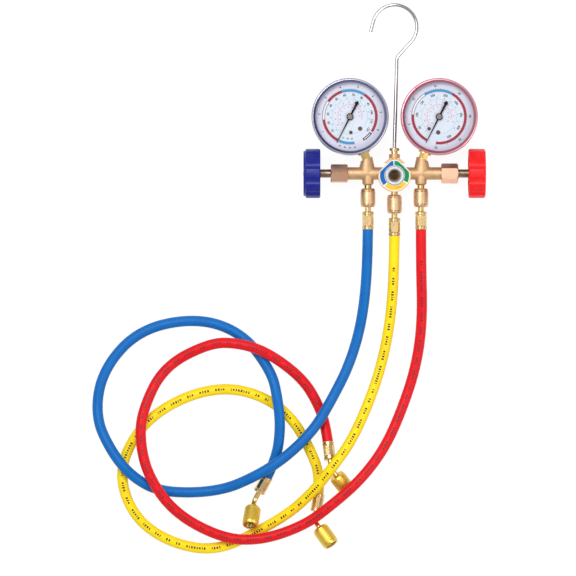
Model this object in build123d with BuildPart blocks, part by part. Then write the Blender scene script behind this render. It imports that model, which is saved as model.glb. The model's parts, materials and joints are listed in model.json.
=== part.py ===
from build123d import *
import os
from math import acos, asin, atan2, cos, degrees, pi, radians, sin, sqrt, tan

# Two-valve refrigerant manifold gauge set with three charging hoses.
# Millimetres. It lies on its back on z = 0: +Y points to the hook, +X to the high-pressure side
# and +Z out of the dials. The origin is under the middle of the metal parts.

os.makedirs("parts", exist_ok=True)


def save(piece, name):
    """Label a finished piece and write it as its own STEP file."""
    piece.part.label = name
    export_step(piece.part, f"parts/{name}.step")


# ---------------------------------------------------------------------------------------------
# Driving dimensions
# ---------------------------------------------------------------------------------------------
running_gap = 0.05          # radial play of a thread, spindle or swivel
seat_gap = 0.1              # axial play between seated faces

# Quarter-inch SAE flare, thread 7/16-20 UNF
flare_thread_radius = 11.11 / 2
flare_thread_length = 11.0
flare_nose_length = 1.6
flare_nose_radius = 4.4
flare_tip_radius = 2.4
passage_radius = 1.6

# Manifold casting, measured from the valve axis
tube_radius = 6.0
tube_end = 44.2
gland_thread_radius = 6.5
gland_thread_end = 53.0
chamber_radius = 4.05
chamber_end = 33.0
seat_radius = 2.0
seat_place = 17.0
port_spacing = 25.2
port_boss_radius = 5.8
port_boss_tip_radius = 5.3
port_boss_bevel = 1.2
port_boss_end = 11.0
port_neck_radius = 3.5
port_nut_top = 14.25
port_thread_start = 15.4
service_port_drop = 6.0
tower_base_length = 17.4
tower_base_place = 26.2
tower_top_radius = 5.9
tower_top_place = (26.5, 13.9)
tower_foot_radius = 6.2

# Sight glass
sight_drop = 2.1
housing_radius = 15.6
housing_front = 8.5
housing_back = 8.0
shoulder_apothem = housing_radius - 2.3
shoulder_angle = 40.0       # of the shoulders' slope, from the hook's line
shoulder_depth = 4.5
shoulder_inset = 1.0
sight_ring_radius = 9.26
sight_ring_height = 2.2
sight_ring_hole = 5.46
sight_thread_radius = 7.4
sight_skirt_length = 4.0
sight_glass_thickness = 2.1
sight_chamber_radius = 5.2
sight_chamber_floor = -4.0
label_thickness = 0.4
label_margin = 0.3

# Hook and its swivel nut
hook_boss_radius = 5.2
hook_boss_end = housing_radius + 2.7
hook_thread_radius = 3.0
hook_thread_depth = 9.0
hook_shank_length = 5.8
hook_neck_radius = 3.3
hook_neck_length = 3.0
hook_flange_radius = 4.9
hook_flange_length = 2.8
hook_wire_radius = 1.72
hook_head_radius = 2.6
hook_head_length = 1.6
hook_bend = (2.4, 110.2)
hook_bend_radius = 5.0
hook_loop_centre = (0.3, 139.2)
hook_loop_radius = 21.0
hook_loop_start = -48.9
hook_loop_sweep = 214.5
hook_tip_length = 10.3

# Hand valves
gland_nut_across_flats = 16.5
gland_nut_end = 60.5
gland_nut_cap = 3.2
gland_nut_chamfer = 1.2
gland_nut_turns = {"low": 35, "high": 0}
packing_length = 3.6
stem_radius = 4.0
stem_neck_radius = 2.5
stem_nose_radius = 2.0
stem_nose_length = 3.8
plunger_radius = 3.2
plunger_end = 25.0
plunger_nose = 16.6
plunger_nose_radius = 1.5
stem_square = 6.0
stem_square_length = 9.0
knob_radius = 23.6
knob_inner_face = 70.4
knob_width = 16.0
knob_rim_round = 2.4
knob_flutes = 10
knob_flute_radius = 5.85
knob_flute_depth = 1.6
knob_hub_radius = 7.0
knob_rim_inner_radius = knob_radius - 5.1
knob_front_dish = 3.5
knob_back_dish = 6.0
knob_screw_radius = 1.9
knob_screw_head_radius = 3.6
knob_screw_head_length = 2.4
knob_screw_length = 7.0

# Gauges, measured from the dial centre and from the stem's plane
gauge_place = (42.3, 53.7)
case_radius = 35.2
case_wall = 0.8
bourdon_radius = 24.0
case_back = -13.5
case_rim = 11.0
bezel_radius = case_radius + 1.5
bezel_bottom = 6.7
bezel_top = 15.2
bezel_lip = 12.7
dial_window_radius = case_radius - 2.7
lens_thickness = 1.5
dial_radius = case_radius - case_wall - 0.3
dial_height = 6.0
dial_thickness = 0.6
dial_screw_place = (4.7, -14.1)
dial_screw_radius = 0.8
dial_screw_head_radius = 1.6
dial_screw_head_length = 0.9
collar_radius = 6.55
collar_inner = case_radius + 0.7
collar_outer = collar_inner + 1.5
stem_hex_across_flats = 8.3
stem_thread_radius = 3.95
stem_thread_depth = 6.5
stem_bore_radius = 1.2
stem_passage_depth = 12.5
socket_neck_radius = 4.6
socket_half_width = 6.0
socket_bottom = -(case_radius - 1.6)
socket_top = -(bourdon_radius - 2.1)
socket_tongue_top = socket_top + 5.4
socket_back = -11.0
socket_front = 2.0

# Gauge movement
bourdon_thickness = 2.0
bourdon_depth = 6.0
bourdon_middle = -1.5
bourdon_start = -104.0
bourdon_sweep = 301.0
bourdon_cap_sweep = 11.0
plate_thickness = 0.8
plate_half_widths = (10.5, 3.0)
plate_ends = (-17.0, 8.5)
plate_shoulder = -12.0
plate_corner = 1.2
pillar_places = ((8.5, -14.5), (-8.5, -14.5), (0, 6))
back_plate_height = -7.2
front_plate_height = 2.6
pillar_radius = 1.3
spindle_radius = 0.8
gear_module = 0.3
pinion_teeth = 14
sector_teeth = 77
sector_first_tooth = -3
sector_last_tooth = 15
gear_addendum = 0.8
gear_dedendum = 1.1
gear_backlash = 0.06
sector_height = -1.2
sector_thickness = 1.0
pinion_height = -1.8
pinion_length = 2.2
tail_length = 5.0
tail_angle = -120.0
link_thickness = 0.5
link_half_width = 0.9
link_end = (0.6 * bourdon_radius, -0.8 * bourdon_radius)
link_pin_radius = 0.5
movement_screw_place = (3.5, socket_top + 2.5)
movement_screw_radius = 0.75
pointer_height = 8.2
pointer_thickness = 0.5
pointer_margin = 5.5
pointer_length = dial_window_radius - pointer_margin
pointer_tail = 9.6
pointer_spade_radius = 2.0
pointer_hub_radius = 3.3
pointer_hub_length = 2.0
pointer_rest = 207.0        # clockwise from the top of the dial

# Hoses and their fittings
hose_radius = 5.0
hose_bore_radius = 2.4
hose_socket_depth = 13.5
port_nut_radius = 7.1
port_nut_length = 17.7
end_nut_radius = 7.7
end_nut_length = 20.0
nut_wall = 1.8
nut_bevel_length = 1.8
nut_bevel_depth = 0.9
nut_groove_place = 2.4      # from either end
nut_groove_width = 0.8
nut_groove_depth = 0.4
nut_relief_radius = 5.9
end_nut_thread_length = 11.0
tailpiece_head_radius = 4.9
tailpiece_head_length = 1.2
tailpiece_neck_radius = 3.15
tailpiece_bore_radius = 1.5
gasket_length = 0.7
end_gasket_length = 1.6
depressor_radius = 1.4
depressor_pin_radius = 0.7
depressor_reach = 1.6
neck_length = 4.15
ferrule_length = 17.1
ferrule_collar_radius = 5.7
ferrule_collar_length = 2.9
ferrule_waist_radius = 5.2
crimp_faces = 10
crimp_apothem = 5.32
crimp_margin = 0.6          # groove between a collar and the crimped faces
ferrule_wall_top = 1.6
hose_start = 1.9            # from the ferrule's closed end to the hose's end face
pipe_radius = 2.5
pipe_first_run = 9.0
pipe_second_run = 8.5
pipe_bend = 45.0
pipe_bend_radius = 8.0

# ---------------------------------------------------------------------------------------------
# Frame: where the valve axis lies
# ---------------------------------------------------------------------------------------------
flare_length = port_thread_start + flare_thread_length + flare_nose_length
service_port_tip = flare_length + service_port_drop
hook_top = hook_loop_centre[1] + hook_loop_radius + hook_wire_radius
axis_y = (service_port_tip - hook_top) / 2
axis_z = knob_radius
middle = Vector(0, axis_y, axis_z)

sides = (("low", -1), ("high", 1))
ports = (("low", -port_spacing, 0.0), ("service", 0.0, service_port_drop), ("high", port_spacing, 0.0))


def valve_plane(side):
    """Plane through a valve's axis: local x runs outwards along the valve, local y is its radius."""
    return Plane(origin=middle, x_dir=(side, 0, 0), z_dir=(0, 0, 1))


def port_plane(x):
    """Plane through a port's axis: local x runs out of the port, away from the hook."""
    return Plane(origin=middle + Vector(x, 0, 0), x_dir=(0, -1, 0), z_dir=(0, 0, 1))


def gauge_plane(side):
    """Plane of a gauge's stem, centred under its pointer: local y runs from the stem to the top."""
    centre = middle + Vector(side * gauge_place[0], gauge_place[1], 0)
    tower = middle + Vector(side * tower_top_place[0], tower_top_place[1], 0)
    up = (centre - tower).normalized()
    return Plane(origin=centre, x_dir=(up.Y, -up.X, 0), z_dir=(0, 0, 1))


def turn(plane, *profile, mode=Mode.ADD):
    """Revolve a closed (along, radius) profile about the plane's x axis."""
    with BuildSketch(plane) as section:
        with BuildLine():
            Polyline(*profile, close=True)
        make_face()
    revolve(section.sketch, axis=Axis(plane.origin, plane.x_dir), mode=mode)


def rod(plane, start, end, radius, mode=Mode.ADD):
    """A round bar about the plane's x axis."""
    turn(plane, (start, 0), (end, 0), (end, radius), (start, radius), mode=mode)


def disc(plane, place, height, thickness, radius, mode=Mode.ADD):
    """A round boss or hole whose axis is the plane's normal."""
    with BuildSketch(plane.offset(height)) as outline:
        with Locations(place):
            Circle(radius)
    extrude(outline.sketch, amount=thickness, mode=mode)


def across(plane):
    """The plane turned so that its x axis is the first plane's normal and its y axis the old x."""
    return Plane(origin=plane.origin, x_dir=plane.z_dir, z_dir=plane.y_dir)


# ---------------------------------------------------------------------------------------------
# Manifold casting
# ---------------------------------------------------------------------------------------------
sight_plane = Plane.XY.move(Location(middle - Vector(0, sight_drop, 0)))
tower_distance = (Vector(*gauge_place) - Vector(*tower_top_place)).length

with BuildPart() as manifold_body:
    for name, side in sides:
        rod(valve_plane(side), 0, tube_end, tube_radius)
        rod(valve_plane(side), tube_end, gland_thread_end, gland_thread_radius)
        top = Plane(
            origin=gauge_plane(side).from_local_coords((0, -tower_distance, 0)),
            x_dir=gauge_plane(side).x_dir,
            z_dir=gauge_plane(side).y_dir,
        )
        foot = Plane(
            origin=middle + Vector(side * tower_base_place, 0, 0), x_dir=(1, 0, 0), z_dir=(0, 1, 0)
        )
        with BuildSketch(foot) as tower_foot:
            Ellipse(tower_base_length / 2, tower_foot_radius)
        with BuildSketch(top) as tower_top:
            Circle(tower_top_radius)
        loft([tower_foot.sketch.face(), tower_top.sketch.face()])
    for name, x, drop in ports:
        turn(
            port_plane(x),
            (0, 0),
            (flare_length + drop, 0),
            (flare_length + drop, flare_tip_radius),
            (port_thread_start + flare_thread_length + drop, flare_nose_radius),
            (port_thread_start + flare_thread_length + drop, flare_thread_radius),
            (port_thread_start + drop, flare_thread_radius),
            (port_thread_start + drop, port_neck_radius),
            (port_boss_end + drop, port_neck_radius),
            (port_boss_end + drop, port_boss_tip_radius - port_boss_bevel),
            (port_boss_end + drop - port_boss_bevel, port_boss_tip_radius),
            (0, port_boss_radius),
        )
    with BuildSketch(sight_plane.offset(-housing_back)) as housing:
        Circle(housing_radius)
        with BuildLine(mode=Mode.PRIVATE) as shoulders:
            Polyline(
                (0, shoulder_apothem * sqrt(2)),
                (2 * housing_radius, shoulder_apothem * sqrt(2) - 2 * housing_radius),
                (2 * housing_radius, -2 * housing_radius),
                (-2 * housing_radius, -2 * housing_radius),
                (-2 * housing_radius, shoulder_apothem * sqrt(2) - 2 * housing_radius),
                close=True,
            )
        make_face(shoulders.edges(), mode=Mode.INTERSECT)
    extrude(housing.sketch, amount=housing_back + housing_front)
    chamfer(manifold_body.faces().sort_by(Axis.Z)[0].edges(), 1.2)
    slope = radians(shoulder_angle)
    shoulder_top = hook_boss_radius - shoulder_inset
    shoulder_right = [
        (housing_radius * sin(slope), housing_radius * cos(slope)),
        (shoulder_top, (housing_radius - shoulder_top * sin(slope)) / cos(slope)),
    ]
    shoulder_left = [(-x, y) for x, y in reversed(shoulder_right)]
    with BuildSketch(sight_plane.offset(-shoulder_depth)) as shoulder_web:
        with BuildLine():
            Polyline(*shoulder_right, *shoulder_left, close=True)
        make_face()
    extrude(shoulder_web.sketch, amount=2 * shoulder_depth)
    hook_line = Plane(origin=middle, x_dir=(0, 1, 0), z_dir=(0, 0, 1))
    rod(hook_line, sight_ring_radius, hook_boss_end, hook_boss_radius)
    # bores and galleries
    rod(hook_line, hook_boss_end - hook_thread_depth, hook_boss_end,
        hook_thread_radius + running_gap, mode=Mode.SUBTRACT)
    disc(sight_plane, (0, 0), sight_chamber_floor, housing_front - sight_chamber_floor,
         sight_chamber_radius, mode=Mode.SUBTRACT)
    ledge = housing_front - sight_skirt_length - sight_glass_thickness - 2 * seat_gap
    disc(sight_plane, (0, 0), ledge, housing_front - ledge,
         sight_thread_radius + running_gap, mode=Mode.SUBTRACT)
    for name, side in sides:
        rod(valve_plane(side), 0, seat_place, seat_radius, mode=Mode.SUBTRACT)
        rod(valve_plane(side), seat_place, gland_thread_end, chamber_radius, mode=Mode.SUBTRACT)
        stem_axis = Plane(
            origin=gauge_plane(side).origin, x_dir=-gauge_plane(side).y_dir, z_dir=(0, 0, 1)
        )
        rod(stem_axis, tower_distance - 1, tower_distance + stem_thread_depth + 0.2,
            stem_thread_radius + running_gap, mode=Mode.SUBTRACT)
        rod(stem_axis, tower_distance, tower_distance + stem_passage_depth, stem_bore_radius,
            mode=Mode.SUBTRACT)
    for name, x, drop in ports:
        rod(port_plane(x), 0, flare_length + drop, passage_radius, mode=Mode.SUBTRACT)
save(manifold_body, "manifold_body")

# ---------------------------------------------------------------------------------------------
# Sight glass and hook
# ---------------------------------------------------------------------------------------------
with BuildPart() as sight_window:
    disc(sight_plane, (0, 0), ledge + seat_gap, sight_glass_thickness,
         sight_thread_radius - 2 * seat_gap)
save(sight_window, "sight_window")

with BuildPart() as sight_ring:
    turn(
        across(sight_plane),
        (housing_front - sight_skirt_length, sight_ring_hole),
        (housing_front - sight_skirt_length, sight_thread_radius),
        (housing_front, sight_thread_radius),
        (housing_front, sight_ring_radius),
        (housing_front + sight_ring_height - 0.6, sight_ring_radius),
        (housing_front + sight_ring_height, sight_ring_radius - 0.9),
        (housing_front + sight_ring_height, sight_ring_hole + 1.2),
        (housing_front + sight_ring_height - 1.2, sight_ring_hole),
    )
save(sight_ring, "sight_ring")

label_apothem = shoulder_apothem - label_margin
with BuildPart() as sight_label:
    with BuildSketch(sight_plane.offset(housing_front)):
        Circle(housing_radius - label_margin)
        with BuildLine(mode=Mode.PRIVATE) as label_edge:
            Polyline(
                (0, label_apothem * sqrt(2)),
                (2 * housing_radius, label_apothem * sqrt(2) - 2 * housing_radius),
                (2 * housing_radius, -2 * housing_radius),
                (-2 * housing_radius, -2 * housing_radius),
                (-2 * housing_radius, label_apothem * sqrt(2) - 2 * housing_radius),
                close=True,
            )
        make_face(label_edge.edges(), mode=Mode.INTERSECT)
        Circle(sight_ring_radius + label_margin, mode=Mode.SUBTRACT)
    extrude(amount=label_thickness)
save(sight_label, "sight_label")

hook_nut_top = hook_boss_end + hook_neck_length + hook_flange_length
hook_nut_bottom = hook_boss_end - hook_shank_length
with BuildPart() as hook_nut:
    turn(
        hook_line,
        (hook_nut_bottom, hook_wire_radius + running_gap),
        (hook_nut_top, hook_wire_radius + running_gap),
        (hook_nut_top, hook_flange_radius - 0.5),
        (hook_nut_top - 0.5, hook_flange_radius),
        (hook_boss_end + hook_neck_length, hook_flange_radius),
        (hook_boss_end + hook_neck_length, hook_neck_radius),
        (hook_boss_end, hook_neck_radius),
        (hook_boss_end, hook_thread_radius),
        (hook_nut_bottom, hook_thread_radius),
    )
save(hook_nut, "hook_nut")

hook_plane = Plane(origin=middle, x_dir=(1, 0, 0), z_dir=(0, 0, 1))
hook_head_top = hook_nut_bottom - seat_gap
with BuildPart() as hook:
    with BuildLine(hook_plane) as hook_wire:
        shank = Line((0, hook_head_top - hook_head_length), (0, hook_nut_top + 1))
        loop = CenterArc(hook_loop_centre, hook_loop_radius, hook_loop_start, hook_loop_sweep)
        FilletPolyline(shank @ 1, hook_bend, loop @ 0, radius=hook_bend_radius)
        Line(loop @ 1, loop @ 1 + (loop % 1) * hook_tip_length)
    with BuildSketch(Plane(origin=hook_wire.line @ 0, z_dir=(0, 1, 0))):
        Circle(hook_wire_radius)
    sweep()
    rod(hook_line, hook_head_top - hook_head_length, hook_head_top, hook_head_radius)
save(hook, "hook")

# ---------------------------------------------------------------------------------------------
# Hand valves
# ---------------------------------------------------------------------------------------------
with BuildPart() as packing_nuts:
    for name, side in sides:
        valve = valve_plane(side)
        start = tube_end + seat_gap
        length = gland_nut_end - start
        corner = gland_nut_across_flats / sqrt(3)
        flat = gland_nut_across_flats / 2
        with BuildPart(mode=Mode.PRIVATE) as blank:
            face_plane = Plane(
                origin=valve.from_local_coords((start, 0, 0)), x_dir=(0, 1, 0), z_dir=(side, 0, 0)
            )
            with BuildSketch(face_plane):
                RegularPolygon(corner, 6, rotation=gland_nut_turns[name])
            extrude(amount=length)
            with BuildSketch(valve) as cone_profile:
                with BuildLine():
                    Polyline(
                        (start, 0),
                        (start, flat),
                        (start + gland_nut_chamfer, corner + 0.2),
                        (gland_nut_end - gland_nut_chamfer, corner + 0.2),
                        (gland_nut_end, flat),
                        (gland_nut_end, 0),
                        close=True,
                    )
                make_face()
            revolve(axis=Axis(valve.origin, valve.x_dir), mode=Mode.INTERSECT)
        add(blank.part)
        rod(valve, start, gland_nut_end - gland_nut_cap, gland_thread_radius + running_gap,
            mode=Mode.SUBTRACT)
        rod(valve, start, gland_nut_end, chamber_radius + running_gap, mode=Mode.SUBTRACT)
save(packing_nuts, "packing_nuts")

with BuildPart() as stem_packings:
    for name, side in sides:
        start = gland_thread_end + seat_gap
        turn(
            valve_plane(side),
            (start, chamber_radius),
            (start + packing_length, chamber_radius),
            (start + packing_length, gland_thread_radius),
            (start, gland_thread_radius),
        )
save(stem_packings, "stem_packings")

knob_outer_face = knob_inner_face + knob_width
hub_face = knob_outer_face - knob_front_dish + 1.5
square_end = knob_inner_face + stem_square_length
for name, side in sides:
    valve = valve_plane(side)
    with BuildPart() as seal_plunger:
        turn(
            valve,
            (plunger_nose, 0),
            (plunger_nose, plunger_nose_radius),
            (seat_place, seat_radius - running_gap),
            (seat_place + 1, plunger_radius),
            (plunger_end, plunger_radius),
            (plunger_end, stem_nose_radius + running_gap),
            (plunger_end - stem_nose_length, stem_nose_radius + running_gap),
            (plunger_end - stem_nose_length, 0),
        )
    save(seal_plunger, f"{name}_seal_plunger")

    with BuildPart() as valve_stem:
        turn(
            valve,
            (plunger_end - stem_nose_length + seat_gap, 0),
            (plunger_end - stem_nose_length + seat_gap, stem_nose_radius),
            (plunger_end + seat_gap, stem_nose_radius),
            (plunger_end + seat_gap, stem_neck_radius),
            (chamber_end, stem_neck_radius),
            (chamber_end + 1, stem_radius),
            (knob_inner_face, stem_radius),
            (knob_inner_face, 0),
        )
        with BuildSketch(
            Plane(origin=valve.from_local_coords((knob_inner_face, 0, 0)), z_dir=(side, 0, 0))
        ) as square:
            Rectangle(stem_square, stem_square)
        extrude(square.sketch, amount=stem_square_length)
        rod(valve, square_end - knob_screw_length, square_end, knob_screw_radius + running_gap,
            mode=Mode.SUBTRACT)
    save(valve_stem, f"{name}_valve_stem")

    with BuildPart() as knob:
        with BuildSketch(valve):
            with BuildLine():
                Polyline(
                    (knob_inner_face, 0),
                    (hub_face, 0),
                    (hub_face, knob_hub_radius),
                    (knob_outer_face - knob_front_dish, knob_hub_radius + 0.6),
                    (knob_outer_face - knob_front_dish, knob_rim_inner_radius - 1),
                    (knob_outer_face - 0.6, knob_rim_inner_radius),
                    (knob_outer_face, knob_rim_inner_radius + 0.6),
                    (knob_outer_face, knob_radius - knob_rim_round),
                )
                outer_round = RadiusArc(
                    (knob_outer_face, knob_radius - knob_rim_round),
                    (knob_outer_face - knob_rim_round, knob_radius),
                    side * -knob_rim_round,
                )
                Polyline(
                    outer_round @ 1,
                    (knob_inner_face + 1, knob_radius),
                    (knob_inner_face, knob_radius - 1),
                    (knob_inner_face, knob_rim_inner_radius + 0.6),
                    (knob_inner_face + knob_back_dish, knob_rim_inner_radius),
                    (knob_inner_face + knob_back_dish, knob_hub_radius + 0.6),
                    (knob_inner_face, knob_hub_radius),
                    (knob_inner_face, 0),
                )
            make_face()
        revolve(axis=Axis(valve.origin, valve.x_dir))
        face_plane = Plane(
            origin=valve.from_local_coords((knob_inner_face, 0, 0)), x_dir=(0, 1, 0), z_dir=(side, 0, 0)
        )
        flute_place = knob_radius - knob_flute_depth + knob_flute_radius
        with BuildSketch(face_plane) as flutes:
            with PolarLocations(flute_place, knob_flutes, start_angle=0):
                Circle(knob_flute_radius)
        extrude(flutes.sketch, amount=knob_width, mode=Mode.SUBTRACT)
        with BuildSketch(face_plane) as socket_square:
            Rectangle(stem_square + 2 * running_gap, stem_square + 2 * running_gap)
        extrude(socket_square.sketch, amount=stem_square_length + seat_gap, mode=Mode.SUBTRACT)
        rod(valve, knob_inner_face, hub_face, knob_screw_radius + seat_gap, mode=Mode.SUBTRACT)
    save(knob, f"{name}_knob")

    with BuildPart() as knob_screw:
        turn(
            valve,
            (square_end - knob_screw_length + 0.5, 0),
            (square_end - knob_screw_length + 0.5, knob_screw_radius),
            (hub_face, knob_screw_radius),
            (hub_face, knob_screw_head_radius),
            (hub_face + knob_screw_head_length - 0.8, knob_screw_head_radius),
            (hub_face + knob_screw_head_length, knob_screw_head_radius - 1.2),
            (hub_face + knob_screw_head_length, 0),
        )
        with BuildSketch(
            Plane(
                origin=valve.from_local_coords((hub_face + knob_screw_head_length, 0, 0)),
                z_dir=(side, 0, 0),
            )
        ) as cross_slot:
            Rectangle(3.6, 0.8, rotation=45)
            Rectangle(3.6, 0.8, rotation=-45)
        extrude(cross_slot.sketch, amount=-1.2, mode=Mode.SUBTRACT)
    save(knob_screw, f"{name}_knob_screw")

# ---------------------------------------------------------------------------------------------
# Gauges: shells
# ---------------------------------------------------------------------------------------------
socket_hole_radius = socket_neck_radius + 2 * seat_gap
for name, side in sides:
    gauge = gauge_plane(side)
    dial_axis = across(gauge)
    stem_axis = Plane(origin=gauge.origin, x_dir=-gauge.y_dir, z_dir=(0, 0, 1))

    with BuildPart() as gauge_case:
        turn(
            dial_axis,
            (case_back, 0),
            (case_back, case_radius - 2),
            (case_back + 2, case_radius),
            (case_rim, case_radius),
            (case_rim, case_radius - case_wall),
            (case_back + 2.3, case_radius - case_wall),
            (case_back + case_wall, case_radius - 2.3),
            (case_back + case_wall, 0),
        )
        rod(stem_axis, case_radius - 4, case_radius + 2, socket_hole_radius, mode=Mode.SUBTRACT)
    save(gauge_case, f"{name}_gauge_case")

    with BuildPart() as gauge_bezel:
        with BuildSketch(dial_axis):
            with BuildLine():
                skirt = Polyline(
                    (bezel_lip, dial_window_radius),
                    (bezel_lip, case_radius + seat_gap),
                    (bezel_bottom, case_radius + seat_gap),
                    (bezel_bottom, bezel_radius),
                    (bezel_top - 1.8, bezel_radius),
                )
                crown = ThreePointArc(
                    skirt @ 1, (bezel_top - 0.35, bezel_radius - 0.75), (bezel_top, bezel_radius - 1.7)
                )
                Polyline(
                    crown @ 1,
                    (bezel_top - 0.4, bezel_radius - 2.3),
                    (bezel_lip + 0.5, dial_window_radius),
                    (bezel_lip, dial_window_radius),
                )
            make_face()
        revolve(axis=Axis(dial_axis.origin, dial_axis.x_dir))
    save(gauge_bezel, f"{name}_gauge_bezel")

    with BuildPart() as gauge_lens:
        disc(gauge, (0, 0), case_rim + seat_gap, lens_thickness, case_radius - seat_gap)
    save(gauge_lens, f"{name}_gauge_lens")

    with BuildPart() as dial:
        disc(gauge, (0, 0), dial_height, dial_thickness, dial_radius)
        disc(gauge, (0, 0), dial_height, dial_thickness, 2 * spindle_radius, mode=Mode.SUBTRACT)
        for hand in (-1, 1):
            disc(gauge, (hand * dial_screw_place[0], dial_screw_place[1]), dial_height,
                 dial_thickness, dial_screw_radius + seat_gap, mode=Mode.SUBTRACT)
    save(dial, f"{name}_dial")

    # socket: threaded stem, hexagon, collar and the block that carries the tube and the movement
    with BuildPart() as gauge_socket:
        rod(stem_axis, collar_inner, collar_outer, collar_radius)
        with BuildSketch(
            Plane(
                origin=stem_axis.from_local_coords((collar_outer, 0, 0)),
                x_dir=(0, 0, 1),
                z_dir=stem_axis.x_dir,
            )
        ) as stem_hex:
            RegularPolygon(stem_hex_across_flats / sqrt(3), 6)
        extrude(stem_hex.sketch, amount=tower_distance - 0.3 - collar_outer)
        turn(
            stem_axis,
            (tower_distance - 0.3, 0),
            (tower_distance + stem_thread_depth, 0),
            (tower_distance + stem_thread_depth, stem_thread_radius - 0.6),
            (tower_distance + stem_thread_depth - 0.6, stem_thread_radius),
            (tower_distance - 0.3, stem_thread_radius),
        )
        rod(stem_axis, -socket_bottom, collar_inner, socket_neck_radius)
        block_middle = (socket_bottom + socket_top) / 2
        with BuildSketch(gauge.offset(socket_back)) as block:
            with Locations((0, block_middle)):
                Rectangle(2 * socket_half_width, socket_top - socket_bottom)
        extrude(block.sketch, amount=socket_front - socket_back)
        with BuildSketch(gauge.offset(socket_back)) as tongue:
            with Locations((0, (socket_top + socket_tongue_top) / 2)):
                Rectangle(2 * socket_half_width, socket_tongue_top - socket_top)
        extrude(tongue.sketch, amount=back_plate_height - socket_back)
        for hand in (-1, 1):
            disc(gauge, (hand * movement_screw_place[0], movement_screw_place[1]),
                 back_plate_height - 3, 3, movement_screw_radius + running_gap, mode=Mode.SUBTRACT)
        rod(stem_axis, -socket_top + 1.5, tower_distance + stem_thread_depth, stem_bore_radius,
            mode=Mode.SUBTRACT)
        tube_root = Plane(
            origin=gauge.from_local_coords((0, -bourdon_radius + 0.6, bourdon_middle)),
            x_dir=-gauge.x_dir,
            z_dir=(0, 0, 1),
        )
        rod(tube_root, 0, socket_half_width, bourdon_thickness / 3, mode=Mode.SUBTRACT)
    save(gauge_socket, f"{name}_gauge_socket")

    # Bourdon tube: a flattened tube bent to a C, closed by a cap at its free end
    with BuildPart() as bourdon_tube:
        start_angle = radians(bourdon_start + 3)
        start = gauge.from_local_coords(
            (bourdon_radius * cos(start_angle), bourdon_radius * sin(start_angle), bourdon_middle)
        )
        radial = (start - gauge.from_local_coords((0, 0, bourdon_middle))).normalized()
        section_plane = Plane(origin=start, x_dir=radial, z_dir=radial.cross(Vector(0, 0, 1)))
        with BuildSketch(section_plane) as section:
            SlotOverall(bourdon_depth, bourdon_thickness, rotation=90)
        revolve(section.sketch, axis=Axis(gauge.origin, (0, 0, -1)), revolution_arc=bourdon_sweep)
        tip_angle = bourdon_start + 3 - bourdon_sweep
        cap_angle = radians(tip_angle + 0.5)
        cap_start = gauge.from_local_coords(
            (bourdon_radius * cos(cap_angle), bourdon_radius * sin(cap_angle), bourdon_middle - 0.5)
        )
        cap_radial = (cap_start - gauge.from_local_coords((0, 0, bourdon_middle - 0.5))).normalized()
        cap_plane = Plane(origin=cap_start, x_dir=cap_radial, z_dir=cap_radial.cross(Vector(0, 0, 1)))
        with BuildSketch(cap_plane) as cap_section:
            Rectangle(bourdon_thickness + 1, bourdon_depth - 3)
        revolve(cap_section.sketch, axis=Axis(gauge.origin, (0, 0, -1)),
                revolution_arc=bourdon_cap_sweep)
        add(gauge_socket.part, mode=Mode.SUBTRACT)
    save(bourdon_tube, f"{name}_bourdon_tube")

# ---------------------------------------------------------------------------------------------
# Gauges: movement
# ---------------------------------------------------------------------------------------------
pinion_radius = gear_module * pinion_teeth / 2
sector_radius = gear_module * sector_teeth / 2
sector_pivot = (0, -(pinion_radius + sector_radius))


def involute(angle):
    """The involute function of a pressure angle in radians."""
    return tan(angle) - angle


def tooth_profile(teeth):
    """Half outline of a tooth as (radius, half angle) pairs from below its root to its tip."""
    pitch_radius = gear_module * teeth / 2
    base_radius = pitch_radius * cos(radians(20))
    half_pitch = (pi * gear_module / 4 - gear_backlash / 2) / pitch_radius
    widest = half_pitch + involute(radians(20))
    root = pitch_radius - gear_dedendum * gear_module
    tip = pitch_radius + gear_addendum * gear_module
    radii = [max(root, base_radius), pitch_radius, tip]
    flank = [(r, widest - involute(acos(base_radius / r))) for r in radii]
    return [(root - 0.1, flank[0][1])] + flank


def teeth_sketch(plane, centre, teeth, angles):
    """A sketch of the teeth of one gear at the given angles in degrees."""
    profile = tooth_profile(teeth)
    with BuildSketch(plane) as outline:
        for angle in angles:
            middle_angle = radians(angle)
            left = [
                (centre[0] + r * cos(middle_angle + half), centre[1] + r * sin(middle_angle + half))
                for r, half in profile
            ]
            right = [
                (centre[0] + r * cos(middle_angle - half), centre[1] + r * sin(middle_angle - half))
                for r, half in reversed(profile)
            ]
            with BuildLine():
                Polyline(*left, *right, close=True)
            make_face()
    return outline.sketch


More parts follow.
